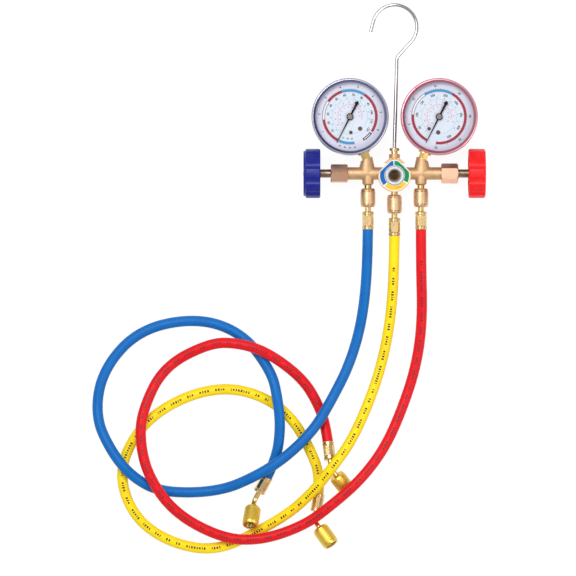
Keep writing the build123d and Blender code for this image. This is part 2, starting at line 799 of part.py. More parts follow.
for name, side in sides:
    gauge = gauge_plane(side)
    foot_width, top_width = plate_half_widths
    plate_bottom, plate_top = plate_ends
    plate_right = [(foot_width, plate_bottom), (foot_width, plate_shoulder), (top_width, plate_top)]
    plate_left = [(-x, y) for x, y in reversed(plate_right)]

    with BuildPart() as movement_frame:
        for height in (back_plate_height, front_plate_height):
            with BuildSketch(gauge.offset(height)) as plate:
                with BuildLine():
                    Polyline(*plate_right, *plate_left, close=True)
                make_face()
                fillet(plate.vertices(), plate_corner)
            extrude(plate.sketch, amount=plate_thickness)
        foot_bottom = socket_top + 0.3
        foot_top = plate_bottom + 0.5
        with BuildSketch(gauge.offset(back_plate_height)) as foot:
            with Locations((0, (foot_bottom + foot_top) / 2)):
                Rectangle(2 * socket_half_width, foot_top - foot_bottom)
        extrude(foot.sketch, amount=plate_thickness)
        for place in pillar_places:
            disc(gauge, place, back_plate_height, front_plate_height - back_plate_height, pillar_radius)
        for hand in (-1, 1):
            screw = (hand * dial_screw_place[0], dial_screw_place[1])
            disc(gauge, screw, front_plate_height + plate_thickness,
                 dial_height - front_plate_height - plate_thickness, 2 * dial_screw_radius)
            disc(gauge, screw, front_plate_height + plate_thickness,
                 dial_height - front_plate_height - plate_thickness,
                 dial_screw_radius + running_gap, mode=Mode.SUBTRACT)
            disc(gauge, (hand * movement_screw_place[0], movement_screw_place[1]),
                 back_plate_height, plate_thickness, movement_screw_radius + running_gap,
                 mode=Mode.SUBTRACT)
        for place in ((0, 0), sector_pivot):
            disc(gauge, place, back_plate_height,
                 front_plate_height + plate_thickness - back_plate_height,
                 spindle_radius + running_gap, mode=Mode.SUBTRACT)
    save(movement_frame, f"{name}_movement_frame")

    with BuildPart() as pinion:
        bottom = back_plate_height + seat_gap
        disc(gauge, (0, 0), bottom, pointer_height + 1 - bottom, spindle_radius)
        disc(gauge, (0, 0), pinion_height, pinion_length, pinion_radius - gear_dedendum * gear_module)
        step = 360 / pinion_teeth
        angles = [270 + step * (index + 0.5) for index in range(pinion_teeth)]
        extrude(teeth_sketch(gauge.offset(pinion_height), (0, 0), pinion_teeth, angles),
                amount=pinion_length)
    save(pinion, f"{name}_pinion")

    with BuildPart() as sector_gear:
        step = 360 / sector_teeth
        rim_radius = sector_radius - gear_dedendum * gear_module
        angles = [90 - step * index for index in range(sector_first_tooth, sector_last_tooth + 1)]
        widest = max(angles) + step / 2
        narrowest = min(angles) - step / 2
        with BuildSketch(gauge.offset(sector_height)) as web:
            with Locations(sector_pivot):
                Circle(rim_radius)
                Circle(rim_radius - 1.6, mode=Mode.SUBTRACT)
            with BuildLine(mode=Mode.PRIVATE) as wedge:
                far = 2 * rim_radius
                Polyline(
                    sector_pivot,
                    (far * cos(radians(narrowest)), sector_pivot[1] + far * sin(radians(narrowest))),
                    (far * cos(radians((widest + narrowest) / 2)),
                     sector_pivot[1] + far * sin(radians((widest + narrowest) / 2))),
                    (far * cos(radians(widest)), sector_pivot[1] + far * sin(radians(widest))),
                    close=True,
                )
            make_face(wedge.edges(), mode=Mode.INTERSECT)
            for arm in (narrowest + 4, (widest + narrowest) / 2, widest - 4):
                reach = rim_radius - 0.8
                arm_middle = (
                    reach / 2 * cos(radians(arm)), sector_pivot[1] + reach / 2 * sin(radians(arm))
                )
                with Locations(arm_middle):
                    Rectangle(reach, 1.2, rotation=arm)
            tail_middle = (
                tail_length / 2 * cos(radians(tail_angle)),
                sector_pivot[1] + tail_length / 2 * sin(radians(tail_angle)),
            )
            with Locations(tail_middle):
                SlotOverall(tail_length + 1.8, 1.8, rotation=tail_angle)
            with Locations(sector_pivot):
                Circle(2.2)
        extrude(web.sketch, amount=sector_thickness)
        extrude(teeth_sketch(gauge.offset(sector_height), sector_pivot, sector_teeth, angles),
                amount=sector_thickness)
        disc(gauge, sector_pivot, back_plate_height + seat_gap,
             front_plate_height + plate_thickness - back_plate_height - seat_gap, spindle_radius)
        link_pin = (
            tail_length * cos(radians(tail_angle)),
            sector_pivot[1] + tail_length * sin(radians(tail_angle)),
        )
        disc(gauge, link_pin, sector_height, sector_thickness + link_thickness + 0.4, link_pin_radius)
    save(sector_gear, f"{name}_sector_gear")

    with BuildPart() as tip_link:
        span = (link_end[0] - link_pin[0], link_end[1] - link_pin[1])
        link_angle = degrees(atan2(span[1], span[0]))
        link_length = sqrt(span[0] ** 2 + span[1] ** 2)
        with BuildSketch(gauge.offset(sector_height + sector_thickness + seat_gap)) as strap:
            with Locations(((link_pin[0] + link_end[0]) / 2, (link_pin[1] + link_end[1]) / 2)):
                SlotOverall(link_length + 2 * link_half_width, 2 * link_half_width,
                            rotation=link_angle)
            with Locations(link_pin):
                Circle(link_pin_radius + running_gap, mode=Mode.SUBTRACT)
        extrude(strap.sketch, amount=link_thickness)
        disc(gauge, link_end, sector_height + sector_thickness + seat_gap + link_thickness, 0.4,
             link_pin_radius)
    save(tip_link, f"{name}_tip_link")

    with BuildPart() as pointer:
        rest = radians(90 - pointer_rest)
        needle_plane = Plane(origin=gauge.origin, x_dir=(cos(rest), sin(rest), 0), z_dir=(0, 0, 1))
        with BuildSketch(needle_plane.offset(pointer_height)) as needle:
            with BuildLine():
                Polyline(
                    (-pointer_tail, 0.45),
                    (0, 0.8),
                    (pointer_length * 0.75, 0.5),
                    (pointer_length, 0.12),
                    (pointer_length, -0.12),
                    (pointer_length * 0.75, -0.5),
                    (0, -0.8),
                    (-pointer_tail, -0.45),
                    close=True,
                )
            make_face()
            with Locations((-pointer_tail, 0)):
                Ellipse(1.3 * pointer_spade_radius, pointer_spade_radius)
        extrude(needle.sketch, amount=pointer_thickness)
        disc(gauge, (0, 0), pointer_height - 0.8, pointer_hub_length, pointer_hub_radius)
        disc(gauge, (0, 0), pointer_height - 0.8, 1.9, spindle_radius + running_gap / 2,
             mode=Mode.SUBTRACT)
    save(pointer, f"{name}_pointer")

with BuildPart() as dial_screws:
    for name, side in sides:
        gauge = gauge_plane(side)
        for hand in (-1, 1):
            place = (hand * dial_screw_place[0], dial_screw_place[1])
            top = dial_height + dial_thickness
            disc(gauge, place, top, dial_screw_head_length, dial_screw_head_radius)
            disc(gauge, place, front_plate_height + plate_thickness + 0.2,
                 top - front_plate_height - plate_thickness - 0.2, dial_screw_radius)
            with BuildSketch(gauge.offset(top + dial_screw_head_length - 0.4)) as slot:
                with Locations(place):
                    Rectangle(2 * dial_screw_head_radius, 0.5, rotation=20 + 70 * hand)
            extrude(slot.sketch, amount=0.4, mode=Mode.SUBTRACT)
save(dial_screws, "dial_screws")

with BuildPart() as movement_screws:
    for name, side in sides:
        gauge = gauge_plane(side)
        for hand in (-1, 1):
            place = (hand * movement_screw_place[0], movement_screw_place[1])
            disc(gauge, place, back_plate_height + plate_thickness, 0.8, 2 * movement_screw_radius)
            disc(gauge, place, back_plate_height - 2.5, 2.5 + plate_thickness, movement_screw_radius)
save(movement_screws, "movement_screws")

# ---------------------------------------------------------------------------------------------
# Hoses: routes are (x, y from the valve axis, z) points, from the manifold to the free end
# ---------------------------------------------------------------------------------------------
routes = {
    "low": [
        (-25.2, -38, 23.6), (-25.2, -84, 23.6), (-30, -138, 10), (-42, -181, 5.5),
        (-60, -216, 15.5), (-76, -243, 18), (-101, -268, 21), (-128, -286, 18.5),
        (-166, -303, 5), (-221, -304, 5), (-249, -289, 15.8), (-269, -265, 16),
        (-285, -231, 5), (-278, -187, 5), (-243, -148, 5), (-187, -137, 5),
        (-144, -152, 5), (-117, -188, 12), (-111, -213, 18.5), (-108, -243, 13),
        (-113, -275, 9), (-128, -302, 6),
    ],
    "service": [
        (0, -44, 23.6), (0, -90, 23.6), (-4, -145, 8), (-14, -190, 6),
        (-28, -227, 15), (-42, -256, 24.5), (-58, -278, 26.5), (-76, -301, 18),
        (-98, -322, 7), (-128, -340, 5), (-170, -360, 5), (-216, -351, 5),
        (-250, -325, 5), (-263, -282, 5), (-242, -240, 5), (-205, -214, 5),
        (-163, -203, 5), (-126, -211, 5), (-98, -231, 5), (-80, -262, 5),
        (-69.5, -290.5, 5.3), (-74, -320, 8),
    ],
    "high": [
        (25.2, -38, 23.6), (25.2, -84, 23.6), (27, -140, 8), (21, -184, 5),
        (7, -226, 6), (-9, -261, 15), (-31, -290, 23.5), (-58, -314, 23),
        (-86, -335, 17), (-127, -349, 15.5), (-164, -347, 15.5), (-209, -323, 18),
        (-234, -288, 19), (-242, -255, 16), (-240, -226, 15.5), (-220, -184, 5),
        (-176, -161, 14), (-148, -161, 20), (-120, -170, 20), (-87, -195, 6),
        (-72, -220, 5), (-64.5, -242, 5), (-61.2, -270.6, 13.5),
    ],
}
# The way each free nut leans from its pipe, before the bend is set to its exact angle
nut_leans = {"low": (-0.16, -0.82, 0.55), "service": (0.52, -0.81, 0.26), "high": (0.58, -0.76, -0.28)}


def bend_radii(points):
    """Radius of the arc at each inner point: as large as its two runs allow."""
    radii = []
    for before, corner, after in zip(points, points[1:], points[2:]):
        first, second = corner - before, after - corner
        half_turn = radians(first.get_angle(second)) / 2
        radii.append(0.45 * min(first.length, second.length) / tan(half_turn))
    return radii


def axis_plane(origin, direction):
    """Plane through an axis in space: local x runs along it."""
    side_way = Vector(0, 0, 1).cross(direction).normalized()
    return Plane(origin=origin, x_dir=direction, z_dir=direction.cross(side_way))


hose_ends = {}
for name, x, drop in ports:
    points = [middle + Vector(px, py, pz - axis_z) for px, py, pz in routes[name]]
    radii = bend_radii(points)
    print(name, "hose bend radii", [round(radius) for radius in radii])
    start_way = (points[1] - points[0]).normalized()
    end_way = (points[-1] - points[-2]).normalized()
    with BuildPart() as hose:
        with BuildLine() as route:
            FilletPolyline(*points, radius=radii)
        with BuildSketch(Plane(origin=points[0], z_dir=start_way)):
            Circle(hose_radius)
        sweep()
        rod(axis_plane(points[0], start_way), 0, hose_socket_depth, hose_bore_radius,
            mode=Mode.SUBTRACT)
        rod(axis_plane(points[-1], end_way * -1), 0, hose_socket_depth, hose_bore_radius,
            mode=Mode.SUBTRACT)
    save(hose, f"{name}_hose")
    length = route.wires()[0].length
    print(name, "hose length", round(length, 1), "volume", round(hose.part.volume),
          "section times length", round(pi * hose_radius**2 * length))
    hose_ends[name] = (points[0], start_way, points[-1], end_way)


def swivel_nut(plane, length, radius, thread_start, neck_radius):
    """A knurled swivel nut, closed round a neck at the plane's origin, with its mouth at length."""
    hole = neck_radius + seat_gap
    mouth = flare_thread_radius + running_gap
    back = (nut_groove_place, nut_groove_place + nut_groove_width)
    front = (length - back[1], length - back[0])
    grooves = [
        point
        for first, last in (back, front)
        for point in ((first, radius), ((first + last) / 2, radius - nut_groove_depth), (last, radius))
    ]
    turn(
        plane,
        (0, hole),
        (0, radius - nut_bevel_depth),
        (nut_bevel_length, radius),
        *grooves,
        (length - nut_bevel_length, radius),
        (length, radius - nut_bevel_depth),
        (length, mouth + 0.4),
        (length - 0.4, mouth),
        (thread_start, mouth),
        (thread_start, nut_relief_radius),
        (nut_wall, nut_relief_radius),
        (nut_wall, hole),
    )


# Couplings at the manifold: local x of a port's plane runs from the valve axis to the hose
for name, x, drop in ports:
    nut_bottom = port_nut_top + port_nut_length + drop
    nose_tip = flare_length + drop
    with BuildPart() as port_nut:
        upward = Plane(
            origin=port_plane(x).from_local_coords((nut_bottom, 0, 0)), x_dir=(0, 1, 0), z_dir=(0, 0, 1)
        )
        swivel_nut(upward, port_nut_length, port_nut_radius, nut_bottom - nose_tip, tailpiece_neck_radius)
    save(port_nut, f"{name}_port_nut")

with BuildPart() as port_gaskets:
    for name, x, drop in ports:
        nose_tip = flare_length + drop
        turn(
            port_plane(x),
            (nose_tip + seat_gap, passage_radius),
            (nose_tip + seat_gap, tailpiece_head_radius),
            (nose_tip + seat_gap + gasket_length, tailpiece_head_radius),
            (nose_tip + seat_gap + gasket_length, passage_radius),
        )
save(port_gaskets, "port_gaskets")

with BuildPart() as port_tailpieces:
    for name, x, drop in ports:
        head = port_nut_top + port_nut_length + drop - nut_wall - seat_gap - tailpiece_head_length
        ferrule_top = port_nut_top + port_nut_length + drop + neck_length
        barb = hose_bore_radius - running_gap
        turn(
            port_plane(x),
            (head, tailpiece_bore_radius),
            (head, tailpiece_head_radius),
            (head + tailpiece_head_length, tailpiece_head_radius),
            (head + tailpiece_head_length, tailpiece_neck_radius),
            (ferrule_top + hose_start, tailpiece_neck_radius),
            (ferrule_top + hose_start, barb),
            (ferrule_top + hose_start + hose_socket_depth - 1, barb),
            (ferrule_top + hose_start + hose_socket_depth - 0.5, tailpiece_bore_radius),
        )
save(port_tailpieces, "port_tailpieces")


def ferrule(plane, neck_radius):
    """A ferrule from the plane's origin: closed round a neck, with collars and a faceted crimp."""
    inner = hose_radius + running_gap
    hole = neck_radius + running_gap
    body = (ferrule_collar_length + 0.5, ferrule_length - ferrule_collar_length - 0.5)
    turn(
        plane,
        (0, hole),
        (0, ferrule_collar_radius - 0.7),
        (0.7, ferrule_collar_radius),
        (ferrule_collar_length, ferrule_collar_radius),
        (body[0], ferrule_waist_radius),
        (body[1], ferrule_waist_radius),
        (ferrule_length - ferrule_collar_length, ferrule_collar_radius),
        (ferrule_length - 0.4, ferrule_collar_radius),
        (ferrule_length, ferrule_collar_radius - 0.3),
        (ferrule_length, inner),
        (ferrule_wall_top, inner),
        (ferrule_wall_top, hole),
    )
    crimp_start = plane.from_local_coords((body[0] + crimp_margin, 0, 0))
    with BuildSketch(Plane(origin=crimp_start, z_dir=plane.x_dir)) as crimp:
        RegularPolygon(crimp_apothem, crimp_faces, major_radius=False)
        Circle(inner, mode=Mode.SUBTRACT)
    extrude(crimp.sketch, amount=body[1] - body[0] - 2 * crimp_margin)


with BuildPart() as hose_ferrules:
    for name, x, drop in ports:
        first, first_way, last, last_way = hose_ends[name]
        ferrule(axis_plane(first - first_way * hose_start, first_way), tailpiece_neck_radius)
        ferrule(axis_plane(last + last_way * hose_start, last_way * -1), pipe_radius)
save(hose_ferrules, "hose_ferrules")

# Free ends: a bent pipe barbed into the hose, and a nut that swivels on its head
free_ends = {}
for name, x, drop in ports:
    first, first_way, last, last_way = hose_ends[name]
    corner = last + last_way * (hose_start + pipe_first_run)
    lean = Vector(*nut_leans[name])
    sideways = (lean - last_way * lean.dot(last_way)).normalized()
    nut_way = last_way * cos(radians(pipe_bend)) + sideways * sin(radians(pipe_bend))
    nut_back = corner + nut_way * pipe_second_run
    pipe_end = nut_back + nut_way * (nut_wall + seat_gap)
    nut_plane = axis_plane(nut_back, nut_way)
    free_ends[name] = (nut_back, nut_way)
    with BuildPart() as end_pipe:
        with BuildLine():
            FilletPolyline(last, corner, pipe_end, radius=pipe_bend_radius)
        with BuildSketch(Plane(origin=last, z_dir=last_way)):
            Circle(pipe_radius)
            Circle(tailpiece_bore_radius, mode=Mode.SUBTRACT)
        sweep()
        turn(
            axis_plane(last, last_way),
            (1 - hose_socket_depth, tailpiece_bore_radius),
            (1 - hose_socket_depth, hose_bore_radius - running_gap),
            (0, hose_bore_radius - running_gap),
            (0, tailpiece_bore_radius),
        )
        turn(
            nut_plane,
            (nut_wall + seat_gap, tailpiece_bore_radius),
            (nut_wall + seat_gap, tailpiece_head_radius),
            (nut_wall + seat_gap + tailpiece_head_length, tailpiece_head_radius),
            (nut_wall + seat_gap + tailpiece_head_length, tailpiece_bore_radius),
        )
    save(end_pipe, f"{name}_end_pipe")
    with BuildPart() as end_nut:
        swivel_nut(nut_plane, end_nut_length, end_nut_radius,
                   end_nut_length - 0.5 - end_nut_thread_length, pipe_radius)
    save(end_nut, f"{name}_end_nut")

gasket_start = nut_wall + seat_gap + tailpiece_head_length + seat_gap
with BuildPart() as end_gaskets:
    for name, x, drop in ports:
        turn(
            axis_plane(*free_ends[name]),
            (gasket_start, depressor_radius + running_gap),
            (gasket_start, tailpiece_head_radius),
            (gasket_start + end_gasket_length, tailpiece_head_radius),
            (gasket_start + end_gasket_length, depressor_radius + running_gap),
        )
save(end_gaskets, "end_gaskets")

with BuildPart() as core_depressors:
    for name, x, drop in ports:
        turn(
            axis_plane(*free_ends[name]),
            (gasket_start, 0),
            (gasket_start, depressor_radius),
            (gasket_start + end_gasket_length, depressor_radius),
            (gasket_start + end_gasket_length, depressor_pin_radius),
            (gasket_start + end_gasket_length + depressor_reach, depressor_pin_radius),
            (gasket_start + end_gasket_length + depressor_reach, 0),
        )
save(core_depressors, "core_depressors")
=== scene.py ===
"""Looks of a two-valve refrigerant manifold gauge set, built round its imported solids.

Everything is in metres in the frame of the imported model: the set lies on its back on z = 0,
+Y points to the hook, +X to the high-pressure side and +Z out of the dials.
"""

from __future__ import annotations

import json
import logging
import math
from dataclasses import dataclass
from enum import Enum
from typing import Iterable, Sequence, Union

import bmesh
import bpy
from bmesh.types import BMesh, BMVert
from bpy.types import Curve, Material, Mesh, Node, NodeSocket, Object
from mathutils import Matrix, Vector


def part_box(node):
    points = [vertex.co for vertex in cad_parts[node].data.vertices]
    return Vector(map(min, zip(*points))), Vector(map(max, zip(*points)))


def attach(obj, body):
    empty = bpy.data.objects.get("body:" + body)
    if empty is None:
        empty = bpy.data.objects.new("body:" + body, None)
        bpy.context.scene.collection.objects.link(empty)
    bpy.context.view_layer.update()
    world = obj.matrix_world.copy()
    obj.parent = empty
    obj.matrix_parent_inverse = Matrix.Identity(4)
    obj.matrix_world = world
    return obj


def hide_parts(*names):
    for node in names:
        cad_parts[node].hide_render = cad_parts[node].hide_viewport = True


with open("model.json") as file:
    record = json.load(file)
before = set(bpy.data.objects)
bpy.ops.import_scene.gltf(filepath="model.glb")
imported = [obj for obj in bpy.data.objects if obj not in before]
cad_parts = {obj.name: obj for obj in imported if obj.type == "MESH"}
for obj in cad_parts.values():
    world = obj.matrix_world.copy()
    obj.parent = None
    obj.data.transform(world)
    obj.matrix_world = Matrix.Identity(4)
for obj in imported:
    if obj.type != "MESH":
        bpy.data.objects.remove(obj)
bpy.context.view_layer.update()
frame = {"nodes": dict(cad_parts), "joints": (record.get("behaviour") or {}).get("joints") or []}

log = logging.getLogger("manifold_gauge")

MM = 0.001
ROOT_BODY = "manifold"
# The body's turned port necks start this far below the valves' axis: at the sight housing,
# which reaches this far to both sides, and at the ports beside it.
HOUSING_REACH = 17.0 * MM
HOUSING_EDGE = 17.8 * MM
BOSS_EDGE = 11.2 * MM

Number = Union[float, "Value"]
Colour = tuple[float, float, float]
Place = tuple[float, float, float]
Pair = tuple[float, float]


def srgb(red: int, green: int, blue: int) -> Colour:
    """Turn a colour written in 8-bit display values into scene values.

    Args:
        red, green, blue: display values from 0 to 255.

    Returns:
        The same colour in linear values.
    """

    def linear(value: int) -> float:
        """Undo the display curve of one channel."""
        share = value / 255
        return share / 12.92 if share <= 0.04045 else ((share + 0.055) / 1.055) ** 2.4

    return (linear(red), linear(green), linear(blue))


# Shader maths written as Python
class Value:
    """A number in a material's node tree; sums on it add Math nodes."""

    def __init__(self, paint: Paint, socket: NodeSocket) -> None:
        """Keep the tree that the number belongs to and the socket that gives it."""
        self.paint = paint
        self.socket = socket

    def sum(self, operation: str, *numbers: Number) -> Value:
        """Add a Math node.

        Args:
            operation: the node's operation.
            numbers: its inputs, in order.

        Returns:
            The node's result.
        """
        node = self.paint.node("ShaderNodeMath", {"operation": operation}, *numbers)
        return Value(self.paint, node.outputs[0])

    def __add__(self, other: Number) -> Value:
        """Sum of two numbers."""
        return self.sum("ADD", self, other)

    __radd__ = __add__

    def __sub__(self, other: Number) -> Value:
        """Difference of two numbers."""
        return self.sum("SUBTRACT", self, other)

    def __rsub__(self, other: Number) -> Value:
        """Difference, with this number taken from the other."""
        return self.sum("SUBTRACT", other, self)

    def __mul__(self, other: Number) -> Value:
        """Product of two numbers."""
        return self.sum("MULTIPLY", self, other)

    __rmul__ = __mul__

    def __truediv__(self, other: Number) -> Value:
        """Quotient of two numbers."""
        return self.sum("DIVIDE", self, other)

    def __gt__(self, other: Number) -> Value:
        """1 where this number is larger, otherwise 0."""
        return self.sum("GREATER_THAN", self, other)

    def __lt__(self, other: Number) -> Value:
        """1 where this number is smaller, otherwise 0."""
        return self.sum("LESS_THAN", self, other)

    def wave(self) -> Value:
        """Sine of the number."""
        return self.sum("SINE", self)

    def cosine(self) -> Value:
        """Cosine of the number."""
        return self.sum("COSINE", self)

    def root(self) -> Value:
        """Square root of the number."""
        return self.sum("SQRT", self)

    def larger(self, other: Number) -> Value:
        """The larger of two numbers."""
        return self.sum("MAXIMUM", self, other)

    def wrap(self, span: float) -> Value:
        """The number folded into the range from 0 to span."""
        return self.sum("WRAP", self, span, 0.0)

    def smooth(self, low: float, high: float) -> Value:
        """0 below low and 1 above high, with a soft step between.

        Args:
            low: where the step starts.
            high: where it ends.

        Returns:
            The stepped number.
        """
        node = self.paint.node(
            "ShaderNodeMapRange", {"interpolation_type": "SMOOTHSTEP"}, self, low, high, 0.0, 1.0
        )
        return Value(self.paint, node.outputs[0])

    def between(self, low: float, high: float) -> Value:
        """1 where the number lies between two limits.

        Args:
            low: the lower limit.
            high: the upper limit.

        Returns:
            A mask of 0 or 1.
        """
        return (self > low) * (self < high)


class Paint:
    """A material with one Principled shader, and short ways to add nodes to it."""

    def __init__(self, name: str) -> None:
        """Make an empty material.

        Args:
            name: its name.
        """
        self.material = bpy.data.materials.new(name)
        self.material.use_nodes = True
        self.tree = self.material.node_tree
        self.shader = self.tree.nodes["Principled BSDF"]

    def node(
        self, kind: str, settings: dict | None = None, *values: object, **named: object
    ) -> Node:
        """Add a node.

        Args:
            kind: the node's type.
            settings: its properties, which are set first.
            values: its first inputs, in order; a Value or a socket is linked.
            named: other inputs by name, with underscores for spaces.

        Returns:
            The new node.
        """
        made = self.tree.nodes.new(kind)
        for key, value in (settings or {}).items():
            setattr(made, key, value)
        for socket, value in zip(made.inputs, values):
            self.feed(socket, value)
        for key, value in named.items():
            self.feed(made.inputs[key.replace("_", " ")], value)
        return made

    def feed(self, socket: NodeSocket, value: object) -> None:
        """Link a Value or socket to an input, or set the input to a plain number or colour.

        Args:
            socket: the input.
            value: what it gets.
        """
        if isinstance(value, Value):
            value = value.socket
        if isinstance(value, NodeSocket):
            self.tree.links.new(value, socket)
        elif socket.type == "RGBA" and len(value) == 3:
            socket.default_value = (*value, 1.0)
        else:
            socket.default_value = value

    def shade(self, **named: object) -> Material:
        """Feed inputs of the Principled shader.

        Args:
            named: inputs by name, with underscores for spaces.

        Returns:
            The material.
        """
        for key, value in named.items():
            self.feed(self.shader.inputs[key.replace("_", " ")], value)
        return self.material

    def place(
        self, centre: Sequence[float] = (0, 0, 0), axis: Vector | None = None
    ) -> NodeSocket:
        """Object coordinates counted from a centre, turned so that z runs along an axis.

        Args:
            centre: the new origin.
            axis: the new z direction; None keeps the frame's own.

        Returns:
            The vector socket.
        """
        turn = axis.to_track_quat("Z", "Y").to_euler() if axis else (0, 0, 0)
        whole = self.node("ShaderNodeTexCoord").outputs["Object"]
        counted = {"vector_type": "TEXTURE"}
        return self.node("ShaderNodeMapping", counted, whole, tuple(centre), turn).outputs[0]

    def parts(self, vector: NodeSocket) -> tuple[Value, Value, Value]:
        """The three numbers of a vector."""
        split = self.node("ShaderNodeSeparateXYZ", None, vector)
        return tuple(Value(self, socket) for socket in split.outputs)

    def round_about(self, vector: NodeSocket) -> tuple[Value, Value, Value]:
        """Cylinder coordinates of a vector.

        Args:
            vector: a place counted from the cylinder's centre.

        Returns:
            Radius, angle clockwise from y in degrees from 0 to 360, and height along z.
        """
        x, y, z = self.parts(vector)
        radius = (x * x + y * y).root()
        angle = (x.sum("ARCTAN2", x, y) * math.degrees(1.0)).wrap(360.0)
        return radius, angle, z

    def noise(self, vector: NodeSocket, per_metre: float, detail: float = 3.0) -> Value:
        """Even noise about 0.5.

        Args:
            vector: the coordinates that it follows.
            per_metre: how many blotches there are in a metre.
            detail: how many finer layers it has.

        Returns:
            The noise's value.
        """
        node = self.node("ShaderNodeTexNoise", None, Vector=vector, Scale=per_metre, Detail=detail)
        return Value(self, node.outputs[0])

    def mix(self, factor: Number, first: object, second: object) -> NodeSocket:
        """A colour between two others.

        Args:
            factor: 0 for the first, 1 for the second.
            first: a colour or a colour socket.
            second: a colour or a colour socket.

        Returns:
            The mixed colour.
        """
        node = self.node("ShaderNodeMix", {"data_type": "RGBA"})
        self.feed(node.inputs[0], factor)
        self.feed(node.inputs[6], first)
        self.feed(node.inputs[7], second)
        return node.outputs[2]

    def bump(self, height: Value, depth: float, strength: float = 1.0) -> NodeSocket:
        """A normal raised by a height.

        Args:
            height: the height from 0 to 1.
            depth: what 1 stands for, in metres.
            strength: share of the effect.

        Returns:
            The normal socket.
        """
        node = self.node("ShaderNodeBump", None, Strength=strength, Distance=depth, Height=height)
        return node.outputs[0]


# Finishes
@dataclass(frozen=True)
class Metal:
    """Bare or plated metal, with tarnish blotches and a fine grain."""

    name: str
    tint: Colour
    dull: Colour
    roughness: float = 0.3
    blotches: float = 260.0
    tarnish: float = 0.45
    grain: float = 2600.0
    grain_depth: float = 0.000008

    def material(self) -> Material:
        """Build the material.

        Returns:
            The material.
        """
        paint = Paint(self.name)
        place = paint.place()
        patches = paint.noise(place, self.blotches, 4.0).smooth(0.35, 0.7)
        fine = paint.noise(place, self.grain, 2.0)
        return paint.shade(
            Base_Color=paint.mix(patches * self.tarnish, self.tint, self.dull),
            Metallic=1.0,
            Roughness=patches * 0.08 + fine * 0.05 + (self.roughness - 0.05),
            Normal=paint.bump(fine, self.grain_depth),
        )


@dataclass(frozen=True)
class Casting:
    """Sand-cast brass with a grainy skin."""

    name: str
    tint: Colour
    shade: Colour

    def material(self) -> Material:
        """Build the material.

        Returns:
            The material.
        """
        paint = Paint(self.name)
        place = paint.place()
        sand = paint.noise(place, 1500.0, 5.0)
        patches = paint.noise(place, 130.0, 3.0).smooth(0.3, 0.75)
        pits = paint.noise(place, 700.0, 2.0).smooth(0.2, 0.5)
        return paint.shade(
            Base_Color=paint.mix(patches * 0.5 + (1 - pits) * 0.25, self.tint, self.shade),
            Metallic=0.75,
            Roughness=sand * 0.2 + 0.4,
            Normal=paint.bump(sand * 0.7 + pits * 0.5, 0.00008),
        )


@dataclass(frozen=True)
class Knurled:
    """Turned brass with a straight fine knurl on its middle and plain bands at both ends."""

    name: str
    tint: Colour
    shade: Colour
    centre: Place
    axis: Place
    length: float
    outer: float
    ribs: int = 64
    band: float = 3.4 * MM
    depth: float = 0.9 * MM
    relief: float = 0.2
    roughness: float = 0.22

    def material(self) -> Material:
        """Build the material.

        Returns:
            The material.
        """
        paint = Paint(self.name)
        radius, angle, along = paint.round_about(paint.place(self.centre, Vector(self.axis)))
        ribs = (angle * math.radians(self.ribs)).wave() * 0.5 + 0.5
        cross = ((angle * math.radians(self.ribs / 2)) + along * 5200.0).wave() * 0.5 + 0.5
        middle = along.between(self.band, self.length - self.band)
        knurled = middle * (radius > self.outer - self.depth)
        fine = paint.noise(paint.place(), 900.0, 3.0)
        # Painted shade: worn darkens the knurl's grooves towards the shade colour; its noise part
        # is random wear.
        worn = fine.smooth(0.35, 0.75) * 0.4 + (1 - ribs) * knurled * 0.3
        raised = knurled * (ribs * 0.8 + cross * 0.4) + fine * 0.05
        return paint.shade(
            Base_Color=paint.mix(worn, self.tint, self.shade),
            Metallic=1.0,
            Roughness=knurled * 0.14 + fine * 0.08 + self.roughness,
            Normal=paint.bump(raised, 0.00016, self.relief),
        )


@dataclass(frozen=True)
class Plastic:
    """Moulded plastic with a faint sheen and a trace of handling wear."""

    name: str
    tint: Colour
    worn: Colour
    roughness: float = 0.35

    def material(self) -> Material:
        """Build the material.

        Returns:
            The material.
        """
        paint = Paint(self.name)
        place = paint.place()
        wear = paint.noise(place, 170.0, 4.0).smooth(0.45, 0.8)
        skin = paint.noise(place, 4200.0, 2.0)
        return paint.shade(
            Base_Color=paint.mix(wear * 0.5, self.tint, self.worn),
            Roughness=wear * 0.15 + self.roughness,
            Specular_IOR_Level=0.35,
            Normal=paint.bump(skin, 0.00002),
        )


@dataclass(frozen=True)
class HoseCover:
    """Smooth extruded hose cover, a little cloudy along its length."""

    name: str
    tint: Colour
    deep: Colour

    def material(self) -> Material:
        """Build the material.

        Returns:
            The material.
        """
        paint = Paint(self.name)
        place = paint.place()
        cloud = paint.noise(place, 60.0, 3.0).smooth(0.3, 0.8)
        skin = paint.noise(place, 2600.0, 2.0)
        return paint.shade(
            Base_Color=paint.mix(cloud * 0.55, self.tint, self.deep),
            Roughness=cloud * 0.1 + skin * 0.06 + 0.38,
            Specular_IOR_Level=0.22,
            Normal=paint.bump(skin, 0.00003),
        )


@dataclass(frozen=True)
class Plain:
    """A single-coloured finish with a little unevenness, for hidden and small pieces."""

    name: str
    tint: Colour
    roughness: float = 0.5
    metallic: float = 0.0

    def material(self) -> Material:
        """Build the material.

        Returns:
            The material.
        """
        paint = Paint(self.name)
        uneven = paint.noise(paint.place(), 500.0, 3.0)
        darker = tuple(channel * 0.8 for channel in self.tint)
        return paint.shade(
            Base_Color=paint.mix(uneven * 0.6, self.tint, darker),
            Metallic=self.metallic,
            Roughness=uneven * 0.1 + (self.roughness - 0.05),
        )


